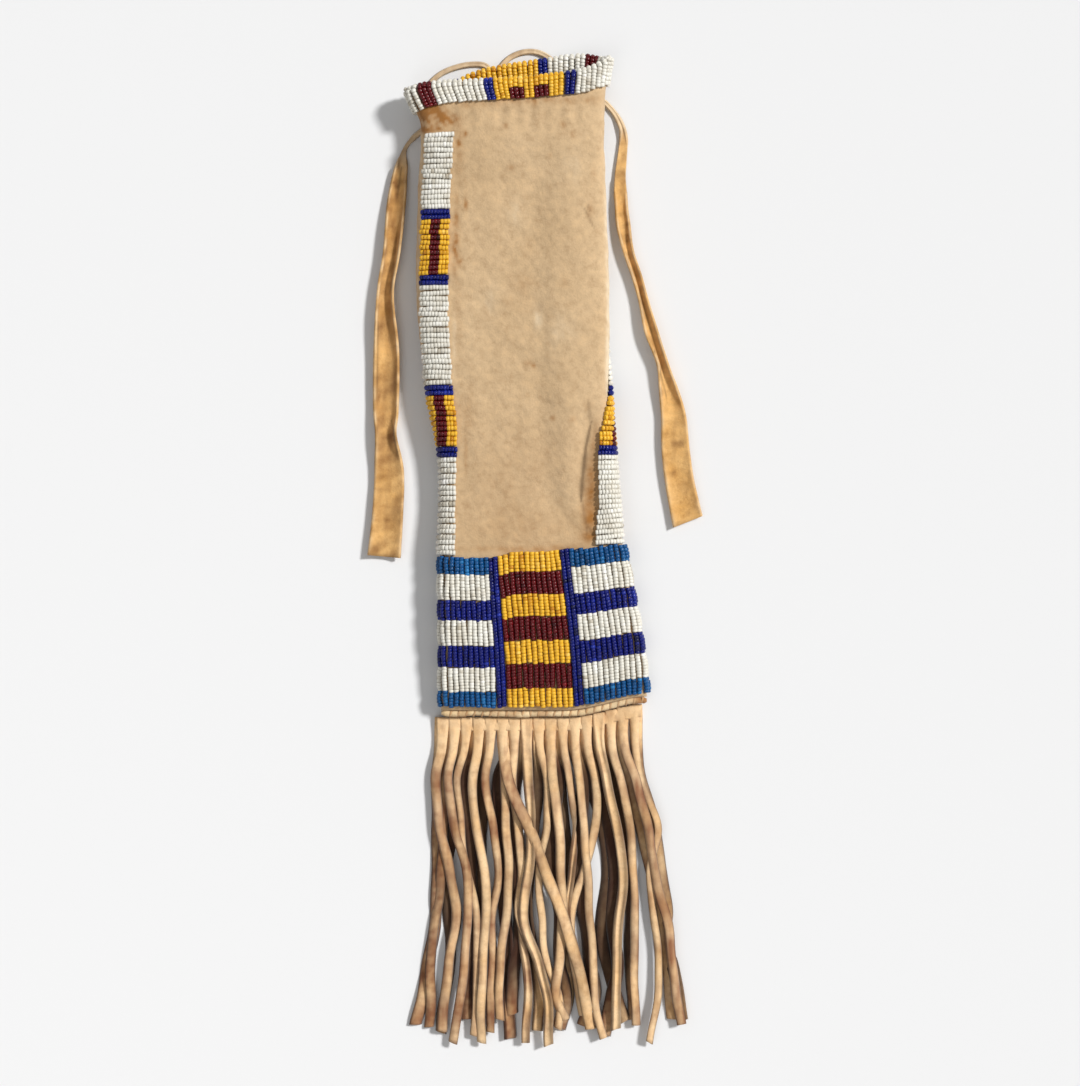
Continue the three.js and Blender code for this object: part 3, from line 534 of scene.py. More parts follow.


# Stains, and three long thin spots of painted shade on the hide just under the lip (y 103 to 108).
STAINS_AND_LIP_SHADE = [
    (430, 110, 11, 8, 1.4), (440, 120, 13, 8, 1.1), (425, 124, 9, 9, 1.1), (452, 124, 8, 6, 0.6),
    (432, 132, 14, 3, 1.0), (520, 103, 60, 3.5, 0.45), (480, 108, 18, 3, 0.4), (590, 103, 14, 4, 0.4),
    (456, 250, 3.5, 24, 0.8), (457, 214, 2.5, 18, 0.5), (460, 150, 5, 26, 0.32), (459, 320, 4, 40, 0.22),
    (466, 137, 2, 3, 0.8), (459, 147, 2, 4, 0.8), (466, 204, 2, 10, 0.7), (461, 264, 2, 4, 0.8),
    (466, 456, 2, 18, 0.45), (506, 129, 2.5, 3, 0.5), (510, 170, 5, 4, 0.4), (535, 106, 2, 4, 0.6),
    (563, 128, 3, 4, 0.5), (573, 138, 3, 4, 0.4), (549, 158, 3, 3, 0.35), (593, 175, 2.5, 6, 0.5),
    (590, 212, 4, 12, 0.3), (530, 246, 8, 10, 0.1), (524, 284, 12, 9, 0.18), (564, 285, 4, 4, 0.3),
    (520, 302, 14, 12, 0.12), (534, 367, 2, 2.5, 0.9), (588, 405, 4, 5, 0.4), (573, 420, 3, 3, 0.5),
    (553, 419, 2.5, 2.5, 0.5), (528, 396, 2, 2, 0.4), (528, 365, 5, 4, 0.3), (500, 549, 50, 3, 0.35),
    (560, 549, 30, 3, 0.4), (420, 200, 3, 60, 0.25), (419, 320, 3, 50, 0.25), (470, 410, 6, 20, 0.2)]
# Broad brown patches low on the front, and painted shade beside the main crease (x 574 to 595).
SOFT_STAINS_AND_CREASE_SHADE = [
    (540, 460, 60, 40, 0.1), (500, 500, 50, 50, 0.12), (530, 530, 60, 20, 0.16), (595, 440, 5, 18, 0.4),
    (592, 468, 7, 20, 0.55), (590, 496, 8, 20, 0.66), (590, 520, 8, 16, 0.7), (590, 537, 10, 6, 0.55),
    (574, 546, 18, 4, 0.25)]
# Worn places, and a painted highlight down the right edge (the first three).
PALE_WEAR_AND_EDGE_HIGHLIGHT = [(608, 180, 3, 80, 1.3), (609.5, 290, 3, 70, 1.3), (609, 370, 3, 36, 1.3), (421, 240, 2, 90, 0.6),
        (418, 330, 2, 60, 0.5), (455, 350, 2, 30, 0.4), (538, 320, 4, 10, 0.5), (516, 215, 10, 14, 0.2),
        (560, 330, 12, 16, 0.2), (490, 300, 10, 16, 0.18), (572, 170, 12, 16, 0.16)]
# Strokes of painted shade in the creases.
CREASE_SHADE = [((591, 422), (583, 460), 0.8), ((586, 446), (581.6, 484), 1.2), ((583, 470), (580.6, 502), 1.2)]
FAINT_CREASE_SHADE = [((588, 400), (590, 424), 1.0), ((581, 496), (587, 534), 0.9), ((584, 520), (598, 542), 0.7),
                 ((584, 210), (594, 231), 0.6), ((587, 206), (590, 214), 0.5), ((606, 412), (612, 380), 0.6)]


def spots(points, places, seed, uneven=0.35):
    """Soft spots given by place, half width, half height and strength: each fades as exp(-r^2), and
    small waves break it up."""
    amount = np.zeros(len(points))
    broken = 1.05 - uneven + uneven * (ripple(points, seed, 7.0) + ripple(points, seed + 1, 2.6))
    for px, py, wide, tall, strength in places:
        x, y = photo_mm(px, py)
        near = ((points[:, 0] - x) / (wide * PIXEL_MM)) ** 2 + ((points[:, 1] - y) / (tall * PIXEL_MM)) ** 2
        amount += strength * np.exp(-near) * np.clip(broken, 0.35, 1.4)
    return amount


def strokes(points, lines, strength):
    """Thin soft lines, each given by its two ends and its half width in mm."""
    amount = np.zeros(len(points))
    for start, end, wide in lines:
        a, b = photo_mm(*start), photo_mm(*end)
        along = np.clip((points[:, :2] - a) @ (b - a) / ((b - a) @ (b - a)), 0, 1)
        away = np.linalg.norm(points[:, :2] - a - along[:, None] * (b - a), axis=1)
        taper = 0.35 + 0.65 * np.sin(np.pi * along)
        amount = np.maximum(amount, np.exp(-(away / wide / taper) ** 2) * strength)
    return amount


in_front = bag_points[:, 2] > 5
# Stains, with painted shade under the lip and beside the crease.
stain_and_shade = in_front * np.clip(spots(bag_points, STAINS_AND_LIP_SHADE, 21) + spots(bag_points, SOFT_STAINS_AND_CREASE_SHADE, 23, 0.12), 0, 0.95)
# Worn places, with a painted highlight down the right edge.
pale = in_front * np.clip(spots(bag_points, PALE_WEAR_AND_EDGE_HIGHLIGHT, 25), 0, 0.8)
# Painted shade in the creases.
shade = in_front * np.maximum(strokes(bag_points, CREASE_SHADE, 0.66), strokes(bag_points, FAINT_CREASE_SHADE, 0.3))
# Painted shade over the inside of the mouth.
shade[(OUTSIDE_RINGS + EDGE_RINGS) * ROUND:-2] = 0.75
hide_bag = mesh_piece("hide_bag_skin", bag_points, bag_quads, {"stain_and_shade": stain_and_shade, "pale": pale, "shade": shade})
dress(hide_bag, bag_hide, ["hide_bag"])
print("hide bag faces:", len(hide_bag.data.polygons), "marks:", len(STAINS_AND_LIP_SHADE + SOFT_STAINS_AND_CREASE_SHADE + PALE_WEAR_AND_EDGE_HIGHLIGHT))

# %% [markdown]
# ## Glass seed beads
# A seed bead is a short rounded tube. Thousands are needed, so one bead has only a few dozen faces,
# and a whole block of one colour becomes one mesh. Each bead gets a random tone that the glass
# material reads, because no two beads of a batch are quite alike.

# %% Bead glass
def bead_material(name, deep, plain, light, roughness=0.22):
    """Glossy glass whose colour runs from deep to light by each bead's own tone, a little grimy."""
    material, shader, add = new_material(name)
    base = colour_ramp(add, painted(add, "tone"), [(0.0, deep), (0.35, plain), (0.7, plain), (1.0, light)])
    dirt = noise(add, 140.0, Detail=3.0)
    grime = colour_ramp(add, dirt, [(0.35, (0.84, 0.80, 0.74)), (0.6, (1.0, 1.0, 1.0))])
    grimy = blend_colours(add, 0.6, base, grime, "MULTIPLY")
    set_inputs(shader, {"Base Color": grimy, "Roughness": roughness, "IOR": 1.5, "Specular IOR Level": 0.22})
    return material


BEADS = {
    "white": bead_material("white_glass", linear(178, 170, 154), linear(217, 214, 204), linear(236, 234, 229),
                           roughness=0.3),
    "teal": bead_material("teal_glass", linear(8, 48, 86), linear(14, 74, 126), linear(40, 112, 166)),
    "blue": bead_material("blue_glass", linear(4, 8, 56), linear(10, 20, 102), linear(30, 46, 144)),
    "yellow": bead_material("yellow_glass", linear(182, 120, 20), linear(222, 172, 48), linear(242, 200, 96)),
    "red": bead_material("oxblood_glass", linear(48, 4, 8), linear(84, 8, 14), linear(120, 20, 26)),
}
print("glass colours:", list(BEADS))

# %% Bead mesh
BEAD_SIDES, BEAD_LENGTH, BEAD_DIAMETER = 8, 1.5, 2.36
BEAD_PROFILE = np.array([(-0.5, 0.76), (-0.43, 0.93), (-0.2, 1.0), (0.2, 1.0), (0.43, 0.93), (0.5, 0.76)])


def unit_bead():
    """A revolved profile along X: place along the bead and radius, both ends closed by a flat."""
    turn = 2 * np.pi * np.arange(BEAD_SIDES) / BEAD_SIDES
    along, radius = BEAD_PROFILE.T[:, :, None]
    points = np.stack(np.broadcast_arrays(along, radius * np.cos(turn), radius * np.sin(turn)), -1)
    return points.reshape(-1, 3), tube_faces(len(BEAD_PROFILE), BEAD_SIDES)[:, ::-1]


BEAD_POINTS, BEAD_QUADS = unit_bead()


def bead_piece(name, centres, threads, normals, lengths, tones, colour, node_names, rng):
    """Copies the unit bead to every centre: its points times the bead's own three axes. One axis lies
    along the thread, and each bead is a little larger or smaller, tilted and shifted at random, as
    hand-sewn beads are."""
    count = len(centres)
    axis = threads + rng.normal(scale=0.04, size=(count, 3))
    axis /= np.linalg.norm(axis, axis=1)[:, None]
    up = normals - axis * np.sum(normals * axis, axis=1)[:, None]
    up /= np.linalg.norm(up, axis=1)[:, None]
    radius = rng.normal(1.0, 0.03, count)[:, None] * BEAD_DIAMETER / 2
    middles = centres + rng.normal(scale=0.045, size=(count, 3))
    axes = np.stack([axis * lengths[:, None], up * radius, np.cross(axis, up) * radius], 1)
    points = middles[:, None, :] + BEAD_POINTS @ axes
    quads = BEAD_QUADS[None] + (np.arange(count) * len(BEAD_POINTS))[:, None, None]
    piece = mesh_piece(name, points, quads, {"tone": np.repeat(np.clip(tones, 0, 1), len(BEAD_POINTS))})
    return dress(piece, BEADS[colour], node_names)


print("faces of one bead:", len(BEAD_QUADS))

# %% [markdown]
# ## Rows of beads
# The beadwork is lane stitch: the thread carries seven or eight beads, goes through the hide, and
# comes back beside them, so each row arches a little over the hide. Array modifiers could repeat a
# bead along a curve, but these rows change their length and lean. So a block is a grid of places,
# rows along one direction and beads along the other, both on the bag's surface.

# %% Rows on a surface
ARCH, SUNK = 0.5, 0.2
bead_counts = []


def sew_block(name, place, rows, ends, colour, node_names, seed, arch=ARCH, keep=None):
    """Beads at the crossings of rows and places across a lane. place(row, across, height) gives a
    point; each row's beads are spread evenly between the two ends and arch up in the middle. Rows
    lean, shift and vary a little, since each is sewn on its own. keep picks some of the beads."""
    rng = np.random.default_rng(seed)
    low, high = ends
    probe = place(np.full(9, rows[len(rows) // 2]), np.linspace(low, high, 9), np.full(9, 1.0))
    count = max(1, round(np.linalg.norm(np.diff(probe, axis=0), axis=1).sum() / BEAD_LENGTH))
    across = mix(low, high, (np.arange(count) + 0.5) / count)
    r, a = np.meshgrid(rows, across, indexing="ij")
    pitch = rows[1] - rows[0] if len(rows) > 1 else 0.0
    lean, slide, tone = rng.normal(size=(3, len(rows), 1))
    r = r + pitch * (0.04 * lean[::-1] + 0.13 * lean * (a - (low + high) / 2) / (high - low))
    step = (high - low) / count / 2
    a = a + 0.3 * step * slide
    bow = arch * (1 - np.abs(np.linspace(-1, 1, count)) ** 2.5) if count > 2 else np.zeros(count)
    height = BEAD_DIAMETER / 2 - SUNK + np.broadcast_to(bow, r.shape)
    centres = place(r, a, height)
    threads = place(r, a + step, height) - place(r, a - step, height)
    normals = place(r, a, height + 0.5) - place(r, a, height - SUNK)
    lengths = np.linalg.norm(threads, axis=-1)
    tones = 0.5 + 0.13 * tone + rng.normal(0, 0.14, r.shape)
    mask = np.ones(r.shape, bool) if keep is None else keep(np.broadcast_to(across, r.shape), lean)
    bead_counts.append(int(mask.sum()))
    return bead_piece(name, centres[mask], (threads / lengths[..., None])[mask], normals[mask],
                      lengths[mask], tones[mask], colour, node_names, rng)


def rows_between(start, end, length):
    """Places of the rows of a stretch, at the row pitch and half a row from each end."""
    count = max(1, round(length / ROW_PITCH))
    return mix(start, end, (np.arange(count) + 0.5) / count)


print("beads across a side lane:", round(LANE_WIDTH / BEAD_LENGTH))

# %% [markdown]
# ## The panel
# Seven lanes go round the foot. In front, between two dark blue bars, stands a middle column of
# yellow and dark red blocks; the other lanes run on round the back. The lanes aren't equally high
# on the real pouch, so their edges are given one by one as shares of the panel's height.

# %% Panel beads
LANE_EDGES = [0, 0.106, 0.268, 0.411, 0.581, 0.714, 0.885, 1]
CENTRE_EDGES = [0, 0.124, 0.284, 0.432, 0.584, 0.725, 0.872, 1]
BAR_LEFT, BAR_RIGHT = (0.139, 0.163), (0.321, 0.3445)
PANEL_GIRTH = float(girth_at(PANEL_FROM_SEAM + PANEL_HEIGHT / 2))


def on_panel(share, height_share, height):
    """A point over the panel, by share of the girth and of the panel's height."""
    return on_bag(share, PANEL_FROM_SEAM + height_share * PANEL_HEIGHT, height)


def panel_block(name, start, end, edges, lane, colour, node_names, seed):
    """A block of one lane: rows up and down the bag, side by side round it."""
    rows = rows_between(start, end, (end - start) * PANEL_GIRTH)
    return sew_block(name, on_panel, rows, (edges[lane], edges[lane + 1]), colour, node_names, seed)


RINGS = [(0, "teal", "panel_teal_bottom"), (1, "white", "panel_white_bottom"),
         (3, "white", "panel_white_middle"), (5, "white", "panel_white_top"), (6, "teal", "panel_teal_top")]
for lane, colour, node in RINGS:
    panel_block(node + "_rows", BAR_RIGHT[1], 1 + BAR_LEFT[0], LANE_EDGES, lane, colour, [node], 100 + lane)
for lane in range(7):
    colour = "red" if lane % 2 else "yellow"
    node = f"panel_{colour}_{lane // 2 + 1}"
    panel_block(node + "_rows", BAR_LEFT[1], BAR_RIGHT[0], CENTRE_EDGES, lane, colour, [node], 120 + lane)
for lane in (2, 4):
    panel_block(f"panel_blue_lane_{lane}", BAR_RIGHT[1], 1 + BAR_LEFT[0], LANE_EDGES, lane, "blue",
                ["panel_blue_frame"], 140 + lane)
for side, (start, end), seed in (("left", BAR_LEFT, 151), ("right", BAR_RIGHT, 150)):
    panel_block(f"panel_bar_{side}", start, end, [0, 1], 0, "blue", ["panel_blue_frame"], seed)
print("beads of the panel:", sum(bead_counts))

# %% [markdown]
# ## The side lanes
# A lane covers each side seam. The pouch is twisted a little, so the left lane starts on the front
# and slips to the edge, and the right one comes round from behind. The lane's middle line is a curve
# round the bag, counted in lane widths, and one function sews both sides.

# %% Side lane beads
left_lane_at = curve_through([
    (0.25, 0.238), (0.39, 0.254), (0.48, 0.651), (0.56, 0.81), (0.66, 0.937), (0.92, 0.937)])
right_lane_at = curve_through([
    (0.25, 0.714), (0.33, 0.4), (0.4, 0.3), (0.44, 0.16), (0.48, -0.16), (0.53, -0.6), (0.64, -0.93),
    (0.92, -0.93)])
LANE_BLOCKS = [("white", 42), ("blue", 4.6), ("motif", 22.8), ("blue", 4.6), ("white", 45), ("blue", 4.6),
               ("motif", 25), ("blue", 4.6), ("white", 34.4)]
RED_HALF = 0.28
MOTIF_PARTS = [("yellow_outer", "yellow", -1), ("red", "red", 0), ("yellow_inner", "yellow", 1)]


def on_lane(side):
    """The surface over a side lane: v along the bag, and -1 to 1 across the lane."""
    def place(v, across, height):
        """The share of the girth is the lane's middle plus half a width either way."""
        centre = (left_lane_at if side == "left" else right_lane_at)(v / BAG_LENGTH)
        share = (centre + across / 2) * LANE_WIDTH / girth_at(v)
        return on_bag(share if side == "left" else 0.5 - share, v, height)
    return place


def in_motif_part(part_side):
    """Tells the beads of a motif's red stripe, 0, from those on its left or right, -1 or 1. The
    stripe's edge moves a little from row to row."""
    def keep(across, lean):
        """True for the beads of this part."""
        edge = RED_HALF + 0.02 * np.sign(lean)
        return across * part_side >= edge if part_side else np.abs(across) < edge
    return keep


def sew_lane(side, seed):
    """All the blocks of a lane, from the panel up to the neck."""
    place = on_lane(side)
    scale = (LANE_TOP - LANE_FOOT) / sum(length for _, length in LANE_BLOCKS)
    counts = {"white": 0, "blue": 0, "motif": 0}
    start = LANE_FOOT
    for kind, length in LANE_BLOCKS:
        end = start + length * scale
        rows = rows_between(start, end, end - start)
        counts[kind] += 1
        node = f"{side}_lane_{kind}_{counts[kind]}"
        seed += 5
        if kind == "motif":
            for part, colour, part_side in MOTIF_PARTS:
                sew_block(f"{node}_{part}_rows", place, rows, (-1, 1), colour, [f"{node}_{part}"], seed,
                          keep=in_motif_part(part_side))
        else:
            sew_block(node + "_rows", place, rows, (-1, 1), kind, [node], seed)
        start = end


sew_lane("left", 200)
sew_lane("right", 300)
print("with the side lanes:", sum(bead_counts))

# %% [markdown]
# ## The lip
# The lip's rows wrap over the edge of the mouth, from the outside to the inside, so a row follows
# three stretches: up, half a turn, and down. Two small dark red squares are set into the lower edge
# of the front's yellow stretch, whose rows are shorter there.

# %% Lip beads
FRONT = [("white", 17), ("red", 14), ("white", 53), ("blue", 9), ("yellow", 72), ("blue", 13), ("white", 40)]
BACK = [("white", 15), ("red", 14), ("white", 38), ("blue", 9), ("yellow", 76), ("blue", 10), ("white", 47)]
SQUARES = [(0.19, 0.41), (0.58, 0.82)]
MOUTH_GIRTH = float(girth_at(BAG_LENGTH))
OVER = np.pi * (HIDE / 2 + 1.1)
LIP_STEPS = np.array([0, LIP_OUTER, LIP_OUTER + OVER, LIP_OUTER + OVER + LIP_INNER])
SQUARE_TOP = LIP_SQUARE / LIP_STEPS[-1]


def on_lip(share, w, height):
    """w runs 0 to 1 up the outside, 1 to 2 over the edge and 2 to 3 down the inside."""
    share, w, height = np.broadcast_arrays(*(np.asarray(a, float) for a in (share, w, height)))
    turn = np.clip(w - 1, 0, 1) * np.pi
    reach = HIDE / 2 + height
    v = BAG_LENGTH - LIP_OUTER * np.clip(1 - w, 0, 1) - LIP_INNER * np.clip(w - 2, 0, 1)
    point = on_bag(share, v, reach * np.cos(turn) - HIDE / 2)
    point[..., 1] += reach * np.sin(turn)
    return point


def lip_evenly(share, t, height):
    """The lip by length across it: the outside, the edge and the inside take their own shares of t."""
    return on_lip(share, np.interp(t * LIP_STEPS[-1], LIP_STEPS, [0, 1, 2, 3]), height)


def lip_stretches():
    """The stretches of one colour round the mouth: colour, start, end and whether it is in front.
    The two white ones that meet at a corner are one."""
    stretches, at = [], 0.0
    for parts in (FRONT, BACK):
        total = sum(length for _, length in parts)
        for colour, length in parts:
            stretches.append([colour, at, at + length / total / 2, parts is FRONT])
            at = stretches[-1][2]
    left_corner = stretches.pop(0)
    stretches[-1][2] += left_corner[2]
    right_corner = stretches.pop(len(FRONT) - 1)
    stretches[len(FRONT) - 2][2] = right_corner[2]
    return stretches


def sew_lip_rows(name, rows, ends, colour, node, seed, arch=0.25):
    """Rows over the lip, from one place across it to another."""
    sew_block(name, lip_evenly, rows, ends, colour, [node], seed, arch=arch)


def sew_front_yellow(rows, part, node, seed):
    """The front's yellow stretch, with the two squares set in and shorter rows above them."""
    in_square = np.zeros(len(rows), bool)
    for k, (low, high) in enumerate(SQUARES):
        here = (part > low) & (part < high)
        in_square |= here
        square = f"lip_square_{k + 1}"
        sew_lip_rows(square + "_rows", rows[here], (0.0, SQUARE_TOP), "red", square, seed + 50 + k, 0.1)
    sew_lip_rows("lip_yellow_long_rows", rows[~in_square], (0.0, 1.0), "yellow", node, seed)
    sew_lip_rows("lip_yellow_short_rows", rows[in_square], (SQUARE_TOP, 1.0), "yellow", node, seed + 60, 0.2)


def sew_lip(seed):
    """All the stretches round the lip."""
    counts = {}
    for colour, start, end, is_front in lip_stretches():
        counts[colour] = counts.get(colour, 0) + 1
        seed += 1
        rows = rows_between(start, end, (end - start) * MOUTH_GIRTH)
        node = f"lip_{colour}_{counts[colour]}"
        if colour == "yellow" and is_front:
            sew_front_yellow(rows, (rows - start) / (end - start), node, seed)
        else:
            sew_lip_rows(node + "_rows", rows, (0.0, 1.0), colour, node, seed)


sew_lip(400)
print("beads in all:", sum(bead_counts))

# %% [markdown]
# ## Thong and ties
# The thong and both ties are one strip of hide. It is narrow behind the neck and widens into flat
# ties that curl along their length. A curve with a bevel could carry a fixed section, but a cut strip
# has to change its width and its curl on the way. So each section is worked out: the strip keeps its
# real width, and where it looks narrower it is rolled up like a gutter.

# %% Strip helper
def centripetal(stops, steps):
    """A smooth path through stops. Between two stops it is the cubic whose end slopes come from
    their neighbours, with times that grow with the square root of the distances."""
    stops = np.asarray(stops, float)
    points = np.vstack([2 * stops[0] - stops[1], stops, 2 * stops[-1] - stops[-2]])
    t = np.linspace(0, 1, steps, endpoint=False)[:, None]
    pieces = []
    for k in range(1, len(points) - 2):
        p0, p1, p2, p3 = points[k - 1:k + 3]
        d0, d1, d2 = (max(np.linalg.norm((b - a)[:3]), 1e-4) ** 0.5
                      for a, b in ((p0, p1), (p1, p2), (p2, p3)))
        m1 = ((p1 - p0) / d0 - (p2 - p0) / (d0 + d1) + (p2 - p1) / d1) * d1
        m2 = ((p2 - p1) / d1 - (p3 - p1) / (d1 + d2) + (p3 - p2) / d2) * d1
        pieces.append(p1 + m1 * t + (3 * (p2 - p1) - 2 * m1 - m2) * t ** 2
                      + (2 * (p1 - p2) + m1 + m2) * t ** 3)
    return np.vstack(pieces + [stops[-1:]])


def chord_to_angle(ratio):
    """Half the angle of an arc whose chord is that share of its length."""
    angles = np.linspace(1e-3, 2.6, 400)
    return np.interp(ratio, (np.sin(angles) / angles)[::-1], angles[::-1])


def strip_mesh(path, widths, real_widths, thickness, sides, curl=1.0, cut=0.0, roll=0.0):
    """A strip of hide along a path. Each cross-section is an arc as long as the strip is wide, whose
    chord is the width that shows; its edges turn up where curl is 1 and down where it is -1. The
    section is turned by roll, and the last one is cut askew. Where the path climbs steeply, a
    section keeps the side of the one before."""
    ahead = np.gradient(path, axis=0)
    ahead /= np.maximum(np.linalg.norm(ahead, axis=1), 1e-9)[:, None]
    side = np.stack([ahead[:, 1], -ahead[:, 0], np.zeros(len(path))], -1)
    for k in np.flatnonzero(np.linalg.norm(side[1:], axis=1) < 0.6) + 1:
        side[k] = side[k - 1] - ahead[k] * (side[k - 1] @ ahead[k])
    side /= np.maximum(np.linalg.norm(side, axis=1), 1e-9)[:, None]
    up = np.cross(side, ahead)
    roll = np.broadcast_to(roll, len(path))[:, None]
    side, up = side * np.cos(roll) + up * np.sin(roll), up * np.cos(roll) - side * np.sin(roll)
    half = chord_to_angle(np.clip(widths / real_widths, 0.3, 0.999))
    radius = (real_widths / 2 / half)[:, None]
    t = np.linspace(-1, 1, sides)
    angle = half[:, None] * t
    wall = np.array([-0.5, 0.5])[:, None, None] * thickness
    x = radius * np.sin(angle) - np.sin(angle) * curl * wall
    z = radius * (1 - np.cos(angle)) * curl + np.cos(angle) * wall
    skew = np.zeros((len(path), sides))
    skew[-1] = cut * t
    under, over = (path[:, None, :] + side[:, None, :] * x[..., None] + up[:, None, :] * z[..., None]
                   + ahead[:, None, :] * skew[..., None])
    ring = np.concatenate([under, over[:, ::-1]], axis=1)
    return ring.reshape(-1, 3), tube_faces(len(path), 2 * sides)[:, ::-1]


def ring_across(sides):
    """How far each point of one ring of a strip lies from the strip's middle, 0 to 1."""
    t = np.abs(np.linspace(-1, 1, sides))
    return np.concatenate([t, t[::-1]])


print("half the angle of a gutter 0.8 as wide: %.0f degrees" % math.degrees(chord_to_angle(0.8)))

# %% Lie of the thong
TIE_LOW, THONG_LOW, ABOVE_FLOOR, TIE_SIDES = 0.8, 0.85, 0.02, 16
LEFT_TIE = [(-68, 69.3, 14.8), (-66.4, 87.6, 13.5), (-65.7, 107.4, 13), (-67.1, 124.5, 8.6),
            (-67.1, 134, 10.4), (-66.9, 162.3, 10.6), (-67.3, 189.3, 6.3), (-64.4, 207.3, 6.7),
            (-62.3, 229.8, 7.6), (-60.3, 245.1, 5)]
LEFT_LOOP = [(-58.5, 254), (-54.5, 259), (-51, 262), (-48, 266), (-48, 275), (-47.4, 282.5), (-43.4, 287),
             (-37, 290.2), (-28.4, 292), (-22, 291.2), (-19, 286), (-19, 277)]
MIDDLE_LOOP = [(-13.5, 276), (-16.4, 287.5), (-12.4, 294), (-7, 297), (-1.4, 297.8), (3.6, 296.6), (8.2, 293),
               (9.4, 286), (6, 278)]
WAY_OUT = [(18, 270), (25, 274.5), (30.4, 275.4), (34.6, 271.8), (37.8, 267.2), (39.8, 262.4)]
RIGHT_TIE = [(40.2, 257.5, 3.4), (38.7, 240.1, 5.9), (39.2, 228, 5), (40.1, 219, 5.4), (42.5, 206.9, 3.6),
             (46.4, 195.2, 3.2), (49.1, 185.3, 2.8), (52.6, 171.3, 5), (57.6, 156.9, 3.6), (60.1, 146.1, 7.2),
             (62.8, 132.2, 10.8), (63.7, 117.8, 12.4), (65.5, 103.4, 12.6), (69.3, 85, 13.9)]
SLIT_LEVEL = 0.925 * BAG_LENGTH
NECK_MIDDLE = FOOT_MIDDLE + float(middle_line(0.925))
SLITS = [NECK_MIDDLE + share * NECK_W for share in (-0.217, -0.024, 0.362, 0.556)]
INSIDE, WALL = NECK_LIFT + HIDE + 0.3 + THONG_THICK, NECK_LIFT + HIDE / 2


def on_floor(*places):
    """Stops of the thong that lie on the floor."""
    return [(x, y, THONG_LOW, THONG_WIDTH) for x, y in places]


def through(x, y):
    """Stops in through a slit at x, along the inside of the back, and out through the one at y."""
    inner = [(x, WALL), (mix(x, y, 0.3), INSIDE), (mix(x, y, 0.7), INSIDE), (y, WALL)]
    return (on_floor((x, SLIT_LEVEL + 4.8), (x, SLIT_LEVEL + 2))
            + [(place, SLIT_LEVEL, height, THONG_WIDTH) for place, height in inner]
            + on_floor((y, SLIT_LEVEL + 2), (y, SLIT_LEVEL + 4.8)))


def tie(stops):
    """Stops of a tie, each with the width that shows there."""
    return [(x, y, TIE_LOW, width) for x, y, width in stops]


LAY = (tie(LEFT_TIE) + on_floor(*LEFT_LOOP) + through(*SLITS[:2]) + on_floor(*MIDDLE_LOOP)
       + through(*SLITS[2:]) + on_floor(*WAY_OUT) + tie(RIGHT_TIE))
print("stops of the thong:", len(LAY))

# %% Thong and ties
TIE_STAINS = [(395, 184, 3, 12, 0.9), (391, 205, 2, 10, 0.5), (393, 226, 3, 8, 0.5), (386, 300, 8, 20, 0.3),
              (380, 400, 5, 40, 0.28), (392, 440, 6, 14, 0.4), (386, 520, 6, 14, 0.3), (374, 548, 6, 8, 0.3),
              (643, 300, 3, 20, 0.5), (652, 340, 3, 16, 0.4), (674, 472, 3, 3, 0.8), (687, 492, 3, 3, 0.7),
              (676, 440, 6, 14, 0.3), (690, 515, 6, 6, 0.3), (628, 230, 3, 14, 0.3), (664, 380, 4, 18, 0.28),
              (624, 170, 8, 50, 0.3), (632, 250, 8, 50, 0.24)]
# Strokes of painted shade in the ties' folds.
TIE_FOLD_SHADE = [((396, 236), (389, 294), 0.8), ((391, 420), (397, 455), 0.7), ((640, 292), (653, 336), 0.8),
             ((378, 320), (376, 400), 0.5), ((401, 165), (396, 200), 0.6), ((655, 350), (668, 400), 0.5)]


PLAIN = THONG_WIDTH + 0.1
left_width = curve_through([(0, 15.2), (2, 13.4), (6, 12.4), (8, 9), (9, 6), (9.8, PLAIN), (11, PLAIN)])
right_width = curve_through([(-2.5, PLAIN), (0, 3.7), (2, 6.4), (6, 8), (9, 10.5), (11, 12.6), (13, 14.2)])


